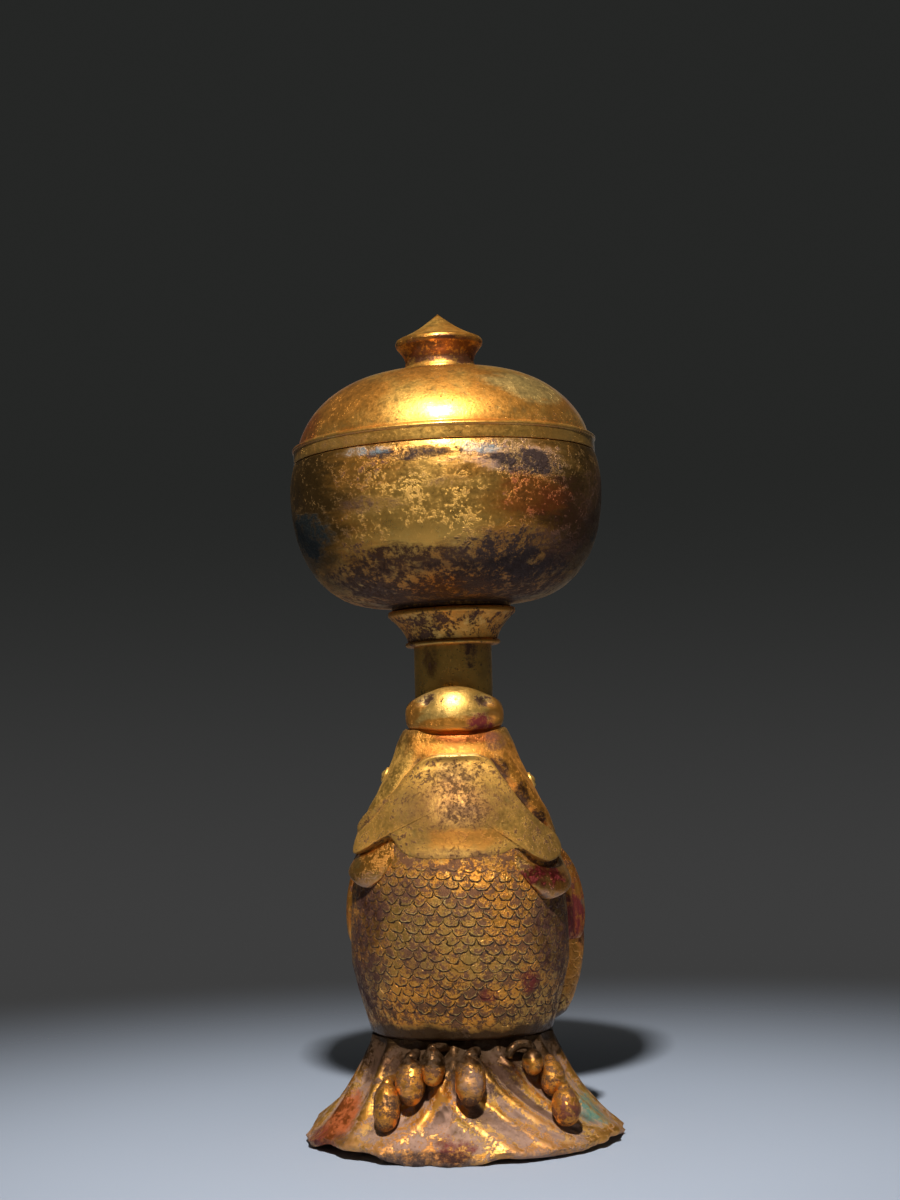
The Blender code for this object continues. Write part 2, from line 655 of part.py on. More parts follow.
def build_dorsal_fin():
    """A low comb down the spine, its edge notched between the rays."""
    spine_angle = 180.0 - math.degrees(math.atan2(BACK_SHIFT_X, BACK_SHIFT_Y + BACK_DEPTH))
    across = polar(DORSAL_THICK / 2, spine_angle + 90.0, 0.0)
    sheets = []
    for side in (-1, 1):
        sheet = []
        for i, z in enumerate(spaced(DORSAL_BOTTOM, DORSAL_TOP, 2 * DORSAL_RAYS + 1)):
            share = (z - DORSAL_BOTTOM) / (DORSAL_TOP - DORSAL_BOTTOM)
            notch = 0.82 if i % 2 == 0 else 1.0
            rise = DORSAL_HEIGHT * math.sin(math.pi * (0.10 + 0.80 * share)) ** 0.6 * notch
            base = facet_radius(spine_angle, z) + PATCH_GAP
            taper = (1.0, 0.75, 0.30)
            row = [polar(base + rise * k / 2, spine_angle, z) for k in range(3)]
            sheet.append([point + across * side * taper[k] for k, point in enumerate(row)])
        sheets.append(sheet)
    bm = bmesh.new()
    slab(bm, sheets[0], sheets[1])
    return finish_mesh("dorsal_fin", bm, GILT_RED)


# ---------------------------------------------------------------- stem and bowl group
def build_tube():
    """The stem tube, from the ledge in the throat up into the collar's socket."""
    bottom = BODY_TOP - TUBE_SEAT_DEPTH + SEAT_GAP
    inside = TUBE_RADIUS - TUBE_WALL
    profile = [(inside, bottom), (TUBE_RADIUS, bottom), (TUBE_RADIUS, TUBE_TOP), (inside, TUBE_TOP)]
    return turned("stem_tube", profile, GILT_WORN, steps=SMALL_ROUND_STEPS)


def lean_room():
    """The collar's web rides this much higher, so that the leaning collar clears the tube's end."""
    return TUBE_RADIUS * math.sin(math.radians(LEAN_DEG))


# Heights in the bowl group are above the tube's end.
def web_bottom():
    return SEAT_GAP + lean_room()


def collar_top():
    return web_bottom() + COLLAR_WEB + COLLAR_CUP_HEIGHT


def bowl_bottom():
    return collar_top() + SEAT_GAP


def bowl_rim():
    return bowl_bottom() + BOWL_HEIGHT


def lid_bottom():
    return bowl_rim() + SEAT_GAP


def lid_top():
    return lid_bottom() + LID_HEIGHT


def build_collar(parent):
    """The flared collar: a socket below for the tube, a cup above for the bowl, and a pierced web between."""
    bore = TUBE_RADIUS + SOCKET_CLEARANCE
    bottom = web_bottom() - SOCKET_DEPTH
    top = collar_top()
    bead = COLLAR_BEAD
    profile = [(bore, bottom), (COLLAR_NECK_RADIUS, bottom)]
    profile += arc(COLLAR_NECK_RADIUS, bottom + bead, bead, bead, -60.0, 80.0, 4)
    flare_start = bottom + 2.2 * bead
    flare_height = top - 0.0018 - flare_start
    for t in spaced(0.0, 1.0, 6):
        radius = COLLAR_NECK_RADIUS + (COLLAR_TOP_RADIUS - COLLAR_NECK_RADIUS) * (0.35 * t + 0.65 * t**2)
        profile.append((radius, flare_start + flare_height * t))
    web_top = web_bottom() + COLLAR_WEB
    profile += [
        (COLLAR_TOP_RADIUS, top),
        (COLLAR_TOP_RADIUS - COLLAR_RIM_WIDTH, top),
        (COLLAR_TOP_RADIUS - COLLAR_RIM_WIDTH - 0.0012, web_top),
        (WEB_HOLE_RADIUS, web_top),
        (WEB_HOLE_RADIUS, web_bottom()),
        (bore, web_bottom()),
    ]
    return turned("socket_collar", profile, BRONZE, parent, SMALL_ROUND_STEPS)


def bowl_outer_profile():
    """The bowl's outside from its foot ring up to the rim: a low round belly, drawn in a little at the mouth."""
    bottom = bowl_bottom() + FOOT_RING_HEIGHT
    belly_z = bowl_bottom() + BOWL_BELLY_HEIGHT
    start_r = FOOT_RING_RADIUS
    points = []
    for a in spaced(0.0, 90.0, 9):
        share_r = math.sin(math.radians(a)) ** 0.80
        share_z = 1 - math.cos(math.radians(a)) ** 0.92
        points.append((start_r + (BOWL_RADIUS - start_r) * share_r, bottom + (belly_z - bottom) * share_z))
    height = bowl_rim() - belly_z
    for t in (0.5, 1.0):
        points.append((BOWL_RADIUS - (BOWL_RADIUS - BOWL_MOUTH_RADIUS) * t**2, belly_z + height * t))
    return points


def build_bowl(parent):
    """The bowl: a thin round shell on a low foot ring, with a boss that centres it in the collar."""
    outside = bowl_outer_profile()
    bottom = bowl_bottom()
    boss_radius = WEB_HOLE_RADIUS - BOSS_CLEARANCE
    inner_floor = bottom + FOOT_RING_HEIGHT + BOWL_WALL
    recess = bottom + FOOT_RING_HEIGHT * 0.5
    ring_inside = FOOT_RING_RADIUS - FOOT_RING_WIDTH
    profile = [(0.0, bottom - BOSS_LENGTH), (boss_radius, bottom - BOSS_LENGTH), (boss_radius, recess)]
    profile += [(ring_inside, recess), (ring_inside, bottom), (FOOT_RING_RADIUS, bottom)]
    profile += outside
    inside = [(r - BOWL_WALL, max(z, inner_floor)) for r, z in outside[::-1]]
    profile += inside[:-3] + [(FOOT_RING_RADIUS, inner_floor + 0.0006), (0.0, inner_floor)]
    return turned("bowl", profile, GILT_WORN, parent)


def lid_outer_profile():
    """The lid's outside from the rim up: a plain band, a bead, a step in, and a full dome to a flat crown."""
    bottom = lid_bottom()
    band = bottom + LID_BAND_HEIGHT
    points = [(BOWL_MOUTH_RADIUS, bottom), (BOWL_MOUTH_RADIUS, band - LID_BEAD)]
    points += arc(BOWL_MOUTH_RADIUS - LID_BEAD * 0.4, band, LID_BEAD * 1.3, LID_BEAD, -45.0, 90.0, 4)
    dome_height = lid_top() - band - LID_BEAD
    power_r, power_z = LID_DOME_FULLNESS
    for a in spaced(4.0, 90.0, 10):
        r = LID_CROWN_RADIUS + (LID_DOME_RADIUS - LID_CROWN_RADIUS) * math.cos(math.radians(a)) ** power_r
        z = band + LID_BEAD + dome_height * math.sin(math.radians(a)) ** power_z
        points.append((r, z))
    return points


def build_lid(parent):
    """The lid: a domed shell with a flange that drops inside the bowl's mouth and a hole for the knob's shank."""
    outside = lid_outer_profile()
    flange_radius = BOWL_MOUTH_RADIUS - BOWL_WALL - FLANGE_CLEARANCE
    bottom = lid_bottom()
    hole = SHANK_RADIUS + SHANK_CLEARANCE
    under = lid_top() - LID_WALL
    profile = [(flange_radius, bottom - FLANGE_DEPTH), (flange_radius, bottom)] + outside
    profile += [(hole, lid_top()), (hole, under)]
    dome = outside[6:]
    inside = [(r - LID_WALL * 0.8, min(z - LID_WALL * 0.6, under)) for r, z in dome[::-2]]
    profile += inside[:-1]
    flange_inside = flange_radius - FLANGE_WALL
    profile += [(flange_inside, bottom + 0.0030), (flange_inside, bottom - FLANGE_DEPTH)]
    return turned("lid", profile, GILT, parent)


def build_knob(parent):
    """The knob: a pointed cap on a waisted neck, with a shank through the lid hammered over a washer."""
    seat = lid_top() + SEAT_GAP
    head_top = lid_top() - LID_WALL - WASHER_THICK - 2 * SEAT_GAP
    rim = seat + KNOB_RIM_HEIGHT
    profile = [(0.0, seat + KNOB_HEIGHT), (KNOB_RIM_RADIUS * 0.14, seat + KNOB_HEIGHT - 0.0006)]
    profile += [(KNOB_RIM_RADIUS * 0.55, rim + 0.0042), (KNOB_RIM_RADIUS - 0.0005, rim + 0.0005)]
    profile.append((KNOB_RIM_RADIUS, rim - 0.0007))
    waist = KNOB_RIM_HEIGHT - 0.0022
    for t in spaced(0.0, 1.0, 6):
        radius = KNOB_NECK_RADIUS + (KNOB_RIM_RADIUS - 0.0003 - KNOB_NECK_RADIUS) * (1 - t) ** 1.7
        profile.append((radius, seat + waist + (KNOB_NECK_HEIGHT - 0.0030 - waist) * t))
    profile += [(KNOB_FOOT_RADIUS, seat + 0.0010), (KNOB_FOOT_RADIUS, seat), (SHANK_RADIUS, seat)]
    profile += [(SHANK_RADIUS, head_top), (RIVET_HEAD_RADIUS, head_top)]
    profile.append((RIVET_HEAD_RADIUS * 0.8, head_top - RIVET_HEAD_HEIGHT * 0.8))
    profile.append((0.0, head_top - RIVET_HEAD_HEIGHT))
    return turned("lid_knob", profile, GILT, parent, SMALL_ROUND_STEPS)


def build_washer(parent):
    """The round plate under the lid that the knob's shank is hammered over."""
    top = lid_top() - LID_WALL - SEAT_GAP
    hole = SHANK_RADIUS + SHANK_CLEARANCE
    under = top - WASHER_THICK
    profile = [(hole, under), (WASHER_RADIUS, under), (WASHER_RADIUS, top), (hole, top)]
    return turned("knob_washer", profile, BRONZE, parent, 24)


def main():
    for old in list(bpy.data.objects):
        bpy.data.objects.remove(old)
    build_foot()
    build_crests("front", 0.0)
    build_crests("rear", 180.0)
    build_body()
    build_lip()
    build_chin_plate()
    build_gill_cover("gill_cover_left", -1)
    build_gill_cover("gill_cover_right", 1)
    build_eye("eye_left", -1)
    build_eye("eye_right", 1)
    build_pectoral_fin("pectoral_fin_left", -1)
    build_pectoral_fin("pectoral_fin_right", 1)
    build_dorsal_fin()
    build_tube()

    bowl_axis = bpy.data.objects.new("bowl_axis", None)
    bpy.context.scene.collection.objects.link(bowl_axis)
    bowl_axis.location = (0.0, 0.0, TUBE_TOP)
    bowl_axis.rotation_euler = (0.0, -math.radians(LEAN_DEG), 0.0)
    build_collar(bowl_axis)
    build_bowl(bowl_axis)
    build_lid(bowl_axis)
    build_knob(bowl_axis)
    build_washer(bowl_axis)


main()
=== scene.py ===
# %% [markdown]
# # A gilt bronze bowl carried by a fish
# An upright fish stands on a foot of waves and holds a stem tube in its mouth. A flared collar slips over the tube,
# a round bowl sits in the collar, and a domed lid closes the bowl. Everything is cast bronze, gilded with fire.
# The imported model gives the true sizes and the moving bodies. This script puts a finely worked surface over each
# casting, gives it an aged gilded finish, and lights it like a studio picture.

import bpy
import numpy as np
from mathutils import Matrix, Vector


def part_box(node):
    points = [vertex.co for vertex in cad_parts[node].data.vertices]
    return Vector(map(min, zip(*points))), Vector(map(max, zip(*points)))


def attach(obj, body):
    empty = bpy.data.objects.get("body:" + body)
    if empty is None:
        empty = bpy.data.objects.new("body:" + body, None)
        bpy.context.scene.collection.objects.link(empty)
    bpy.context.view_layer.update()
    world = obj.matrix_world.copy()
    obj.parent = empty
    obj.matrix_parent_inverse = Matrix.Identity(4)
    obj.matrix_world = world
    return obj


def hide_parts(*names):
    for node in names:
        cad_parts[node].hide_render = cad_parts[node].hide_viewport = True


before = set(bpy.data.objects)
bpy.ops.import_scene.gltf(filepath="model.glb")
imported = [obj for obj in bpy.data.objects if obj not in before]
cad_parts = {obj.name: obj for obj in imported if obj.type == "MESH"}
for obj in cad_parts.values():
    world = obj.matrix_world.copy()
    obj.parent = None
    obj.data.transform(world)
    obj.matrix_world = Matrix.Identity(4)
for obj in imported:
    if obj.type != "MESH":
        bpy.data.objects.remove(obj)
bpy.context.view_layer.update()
TUBE_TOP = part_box("stem_tube")[1][2]
LEAN_DEG = 1.2
MM = 0.001

# %% [markdown]
# ## Small tools
# Each surface below is a formula of two parameters, worked out for a whole grid of points at once. These helpers
# draw smooth curves through a few measured sizes, place points round the stand, and add the slow unevenness that
# hand-finished wax leaves in a casting. Angles round the stand are in degrees from the front, positive to the right.


# %% Curves, polar places and unevenness
def through(knots, at):
    """Smooth curve through (place, value) knots that never overshoots: cubic pieces whose slope at a knot is the
    harmonic mean of the slopes on its two sides."""
    x, y = np.array(knots, float).T
    at = np.asarray(at, float)
    width = np.diff(x)
    slope = np.diff(y) / width
    product = slope[:-1] * slope[1:]
    total = np.where(product > 0, slope[:-1] + slope[1:], 1.0)
    tangent = np.concatenate([slope[:1], np.where(product > 0, 2 * product / total, 0.0), slope[-1:]])
    i = np.clip(np.searchsorted(x, at, side="right") - 1, 0, len(x) - 2)
    t = np.clip((at - x[i]) / width[i], 0.0, 1.0)
    rise = (t**3 - 2 * t**2 + t) * tangent[i] + (t**3 - t**2) * tangent[i + 1]
    return y[i] + (3 * t**2 - 2 * t**3) * (y[i + 1] - y[i]) + rise * width[i]


def ease(t):
    """0 below 0, 1 above 1, and 3t^2 - 2t^3 between."""
    t = np.clip(t, 0.0, 1.0)
    return t * t * (3 - 2 * t)


def hump(distance, width):
    """A soft hill: e to the minus (distance / width) squared."""
    return np.exp(-((distance / width) ** 2))


def turn_between(a, b):
    """Smallest turn in degrees from b to a."""
    return (a - b + 180.0) % 360.0 - 180.0


def polar(radius, angle, z):
    """Points at a radius and an angle from the front: x = r sin a, y = -r cos a."""
    a = np.radians(angle)
    x, y, z = np.broadcast_arrays(radius * np.sin(a), -radius * np.cos(a), z)
    return np.stack([x, y, z], axis=-1)


def push_out(points, push):
    """The points moved straight away from the upright axis."""
    away = points * (1, 1, 0)
    return points + away / np.linalg.norm(away, axis=-1, keepdims=True) * push[..., None]


def uneven(points, size, seed):
    """Value noise from -1 to 1: a hashed number at each corner of a lattice, eased across each cell."""
    place = points / size + 100.0
    cell = np.floor(place).astype(np.int64)
    part = ease(place - cell)
    total = 0.0
    for corner in np.ndindex(2, 2, 2):
        key = (cell + np.array(corner)) @ np.array([73856093, 19349663, 83492791]) + seed * 7919
        key = (key ^ (key >> 13)) * 1274126177 & 0x7FFFFFFF
        value = (key ^ (key >> 15)) % 65536 / 32767.5 - 1.0
        weight = np.prod(np.where(np.array(corner) == 1, part, 1.0 - part), axis=-1)
        total = total + value * weight
    return total


# %% [markdown]
# A grid of points becomes a mesh here. Its columns close on themselves, as round a bowl. Rows can close too, as for
# the wall of a hollow casting, whose outside and inside are one endless strip. An end row that has shrunk to a
# point, as at the tip of the knob, becomes a fan of triangles.


# %% Grid of points to mesh
TIP_SIZE = 1e-9
HOLLOW_DEPTH = 0.00042
HOLLOW_ROUNDS = 44
FLAT_LIFT = 0.00004


def add_object(name, data):
    """Puts new data into the scene, as an object at the origin."""
    made = bpy.data.objects.new(name, data)
    bpy.context.scene.collection.objects.link(made)
    return made


def casting(name, points, material, body, ring_rows=False):
    """Closed mesh object from a rows x columns x 3 grid, riding on one moving body. Its faces are turned outwards by
    the sign of its volume: the sum, over its triangles, of a corner dotted with the other two corners' cross. Points
    that no face uses, as in a tip's row, are left out."""
    rows, columns = points.shape[:2]
    index = np.arange(rows * columns).reshape(rows, columns)
    first_tip, last_tip = (not ring_rows and np.ptp(points[row], axis=0).max() < TIP_SIZE for row in (0, -1))
    index = np.hstack([index, index[:, :1]])
    if ring_rows:
        index = np.vstack([index, index[:1]])
    quads = np.stack([index[:-1, :-1], index[:-1, 1:], index[1:, 1:], index[1:, :-1]], axis=-1)
    quads = quads[int(first_tip) : len(quads) - int(last_tip)].reshape(-1, 4)
    fans = [quads[:0, :3]]
    if first_tip:
        fans.append(np.stack([np.full(columns, index[0, 0]), index[1, 1:], index[1, :-1]], axis=-1))
    if last_tip:
        fans.append(np.stack([np.full(columns, index[-1, 0]), index[-2, :-1], index[-2, 1:]], axis=-1))
    fans = np.concatenate(fans)
    flat = points.reshape(-1, 3)
    triangles = np.concatenate([quads[:, [0, 1, 2]], quads[:, [0, 2, 3]], fans])
    a, b, c = flat[triangles.T]
    if (a * np.cross(b, c)).sum() < 0:
        quads, fans = quads[:, ::-1], fans[:, ::-1]
    used, corners = np.unique(np.concatenate([quads.ravel(), fans.ravel()]), return_inverse=True)
    quads, fans = corners[: quads.size].reshape(-1, 4), corners[quads.size :].reshape(-1, 3)
    mesh = bpy.data.meshes.new(name)
    mesh.from_pydata(flat[used].tolist(), [], quads.tolist() + fans.tolist())
    mesh.validate()
    mark_hollows(mesh)
    mesh.shade_smooth()
    mesh.materials.append(material)
    made = add_object(name, mesh)
    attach(made, body)
    return made


def mark_hollows(mesh):
    """Stores how hollow each point lies, from 0 on a ridge to 1 in a groove. The surface is smoothed by moving every
    point to the mean of its neighbours, round after round, and the mark is how far outwards the point has gone."""
    count = len(mesh.vertices)
    start, normal = np.empty((count, 3)), np.empty((count, 3))
    mesh.vertices.foreach_get("co", start.ravel())
    mesh.vertices.foreach_get("normal", normal.ravel())
    ends = np.empty(len(mesh.edges) * 2, np.int32)
    mesh.edges.foreach_get("vertices", ends)
    a, b = ends.reshape(-1, 2).T
    near = np.maximum(np.bincount(ends, minlength=count), 1)
    axes = list(start.T)
    for _ in range(HOLLOW_ROUNDS):
        axes = [(np.bincount(a, v[b], count) + np.bincount(b, v[a], count)) / near for v in axes]
    outwards = ((np.array(axes).T - start) * normal).sum(axis=1)
    mark = 0.5 + 0.5 * np.clip((outwards + FLAT_LIFT) / HOLLOW_DEPTH, -1.0, 1.0)
    mesh.attributes.new("hollow", "FLOAT", "POINT").data.foreach_set("value", mark.astype(np.float32))


def plate(name, top, under, material, body):
    """A closed plate between two grids, as one strip: over the top, round the edge, and back underneath."""
    grid = np.concatenate([top, under[:, ::-1]], axis=1)
    ends = [grid[:1] * 0 + grid[0].mean(axis=0), grid[-1:] * 0 + grid[-1].mean(axis=0)]
    return casting(name, np.concatenate([ends[0], grid, ends[1]]), material, body)


# %% [markdown]
# Bowls, lids and tubes are turned pieces: a profile of radii and heights carried round the axis. Real metal has no
# perfectly sharp corner, so each profile's corners are first cut to short curves, and long runs get extra points for
# the unevenness to move.


# %% Turned pieces
WOBBLE = 0.00012


def rounded(profile, corner, spacing):
    """Each inner corner becomes a quadratic curve that starts and ends `corner` away from it, or nearly half way to
    the next corner where that is less. The runs between are cut to `spacing`."""
    p = np.array(profile, float)
    path = [p[:1]]
    t = np.linspace(0.0, 1.0, 5)[:, None]
    for before, here, after in zip(p, p[1:], p[2:]):
        start = here + (before - here) * min(corner / max(np.linalg.norm(before - here), 1e-9), 0.48)
        end = here + (after - here) * min(corner / max(np.linalg.norm(after - here), 1e-9), 0.48)
        path.append(start * (1 - t) ** 2 + here * 2 * t * (1 - t) + end * t**2)
    path = np.concatenate(path + [p[-1:]])
    full = [path[:1]]
    for a, b in zip(path, path[1:]):
        count = max(int(np.ceil(np.linalg.norm(b - a) / spacing)), 1)
        full.append(a + (b - a) * np.linspace(0.0, 1.0, count + 1)[1:, None])
    return np.concatenate(full)


def leaned(points):
    """The bowl and everything on it stand on a loose socket and lean a little to the left, round the tube's end."""
    lean = np.radians(LEAN_DEG)
    x, z = points[..., 0], points[..., 2] - TUBE_TOP
    moved = points.copy()
    moved[..., 0] = x * np.cos(lean) - z * np.sin(lean)
    moved[..., 2] = x * np.sin(lean) + z * np.cos(lean) + TUBE_TOP
    return moved


def turned(name, profile, material, body, corner=0.0004, spacing=0.0010, columns=240, *, seed):
    """A profile carried round the axis. It is a ring where it starts off the axis, and closes at two poles if not."""
    line = rounded(profile, corner, spacing)
    is_ring = line[0, 0] > 1e-6
    if is_ring:
        line = line[:-1] if np.allclose(line[0], line[-1]) else line
    radius, z = line[:, :1], line[:, 1:]
    angle = np.linspace(0.0, 360.0, columns, endpoint=False)[None, :]
    places = polar(radius, angle, z)
    drift = 0.6 * uneven(places, 0.016, seed) + 0.3 * uneven(places, 0.005, seed + 1)
    ease_in = np.clip(radius / 0.006, 0.0, 1.0) if not is_ring else 1.0
    points = polar(radius + WOBBLE * drift * ease_in, angle, z)
    if body != "stand":
        points = leaned(points)
    return casting(name, points, material, body, ring_rows=is_ring)


# %% [markdown]
# ## The finish
# Fire gilding is a thin skin of gold burnt on to bronze with mercury. After centuries in the ground it is still
# bright where it was thick, olive where it is thin, and broken by brown and purple bronze oxides, red cuprite and a
# little green verdigris. One function builds this finish for every casting, and each casting says how worn it is and
# where its stains lie, and where painted shade and painted highlights are laid on it in the same way. The sums are
# written as Python expressions on sockets.


# %% Wires: sockets that take part in sums
RAGGED = 2.04


def maths(operation, swapped=False):
    """A method that makes one Math node from its wire and the other values it is given."""

    def method(wire, *others):
        values = (*others, wire) if swapped else (wire, *others)
        return node(wire.tree, "ShaderNodeMath", {"operation": operation}, dict(enumerate(values)))

    return method


class Wire:
    """A socket of a material. Sums of wires and numbers make Math nodes."""

    def __init__(self, tree, socket):
        self.tree = tree
        self.socket = socket

    __add__ = __radd__ = maths("ADD")
    __sub__ = maths("SUBTRACT")
    __rsub__ = maths("SUBTRACT", swapped=True)
    __mul__ = __rmul__ = maths("MULTIPLY")
    __truediv__ = maths("DIVIDE")
    floor = maths("FLOOR")
    fraction = maths("FRACT")
    size = maths("ABSOLUTE")
    root = maths("SQRT")
    larger = maths("MAXIMUM")
    smaller = maths("MINIMUM")
    direction = maths("ARCTAN2")

    def step(self, low, high):
        """0 below low, 1 above high, eased between; low may be the larger."""
        limits = {"Value": self, "From Min": low, "From Max": high}
        return node(self.tree, "ShaderNodeMapRange", {"interpolation_type": "SMOOTHSTEP"}, limits)


def node(tree, kind, settings, values, out=0):
    """Adds a node: its settings first, then the value or the wire of each named or numbered socket."""
    made = tree.nodes.new(kind)
    for key, value in settings.items():
        setattr(made, key, value)
    for key, value in values.items():
        if isinstance(value, Wire):
            tree.links.new(value.socket, made.inputs[key])
        else:
            made.inputs[key].default_value = value
    return Wire(tree, made.outputs[out])


def mix(factor, *colours):
    """Colour from the first to the second as factor goes from 0 to 1."""
    first, second = (c if isinstance(c, Wire) else (*c, 1.0) for c in colours)
    values = {0: factor, 6: first, 7: second}
    return node(factor.tree, "ShaderNodeMix", {"data_type": "RGBA"}, values, out=2)


def grain(place, size, detail, roughness, warp=0.0):
    """Fractal noise round 0.5 whose largest lumps are about `size` metres."""
    values = {"Vector": place, "Scale": 1.0 / size, "Detail": detail, "Roughness": roughness, "Distortion": warp}
    return node(place.tree, "ShaderNodeTexNoise", {}, values)


def stretched(place, scale, turn=(0.0, 0.0, 0.0)):
    """The same place squeezed along each axis, for scratches and streaks."""
    return node(place.tree, "ShaderNodeMapping", {}, {"Vector": place, "Rotation": turn, "Scale": scale})


def patch(place, centre, radii, streak):
    """1 at a centre and 0 outside the given radii, in millimetres, with an edge broken up by streaky noise."""
    centre, radii = ([value * MM for value in values] for values in (centre, radii))
    offset = node(place.tree, "ShaderNodeVectorMath", {"operation": "SUBTRACT"}, {0: place, 1: centre})
    scaled = node(place.tree, "ShaderNodeVectorMath", {"operation": "DIVIDE"}, {0: offset, 1: radii})
    length = node(place.tree, "ShaderNodeVectorMath", {"operation": "LENGTH"}, {0: scaled}, out=1)
    edge = (grain(stretched(place, streak), max(radii) * 0.7, 9.0, 0.74) - 0.5) * RAGGED
    return (length + edge).step(1.15, 0.55)


print("socket sums ready")

# %% [markdown]
# The gilding is laid from the bottom up, as the object aged: gold with thick and thin places, then specks where the
# skin is pricked through, brown patches where the bronze has come up, stains at chosen places, and last the
# scratches. Some of those chosen places hold painted shade and painted highlights, which stand for light, not age.
# Roughness, the metallic value and the bump all follow the same masks, so a brown patch is also dull, less metallic
# and slightly raised.

# %% Colours of the finish
BRIGHT_GOLD = (0.90, 0.50, 0.105)
PALE_GOLD = (0.95, 0.66, 0.22)
OLIVE_GOLD = (0.56, 0.305, 0.075)
ORANGE_GOLD = (0.80, 0.33, 0.050)
RED_GOLD = (0.58, 0.140, 0.030)
BROWN = (0.095, 0.042, 0.020)
PURPLE_BROWN = (0.112, 0.042, 0.026)
RUSSET = (0.175, 0.072, 0.034)
DULL_GOLD = (0.42, 0.225, 0.050)
# painted shade: dark olive laid over the bowl's left and right sides
SIDE_SHADE_OLIVE = (0.190, 0.100, 0.026)
PINK_GREY = (0.43, 0.265, 0.195)
# painted shadow: dark brown under the fish's belly, on its lowest edge, the crests' stems and the foot's top
SHADE_UNDER_BELLY = (0.085, 0.042, 0.016)
CRIMSON = (0.200, 0.022, 0.019)
VERDIGRIS = (0.11, 0.27, 0.21)
PALE_BLUE = (0.24, 0.31, 0.33)
BLACK_CRUST = (0.020, 0.026, 0.024)
BROWN_CRUST = (0.052, 0.026, 0.019)


# %% The gilding, as one function
RELIEF = 0.00032
COAT_ROUGHNESS = 0.17
DARK_RED = 0.45


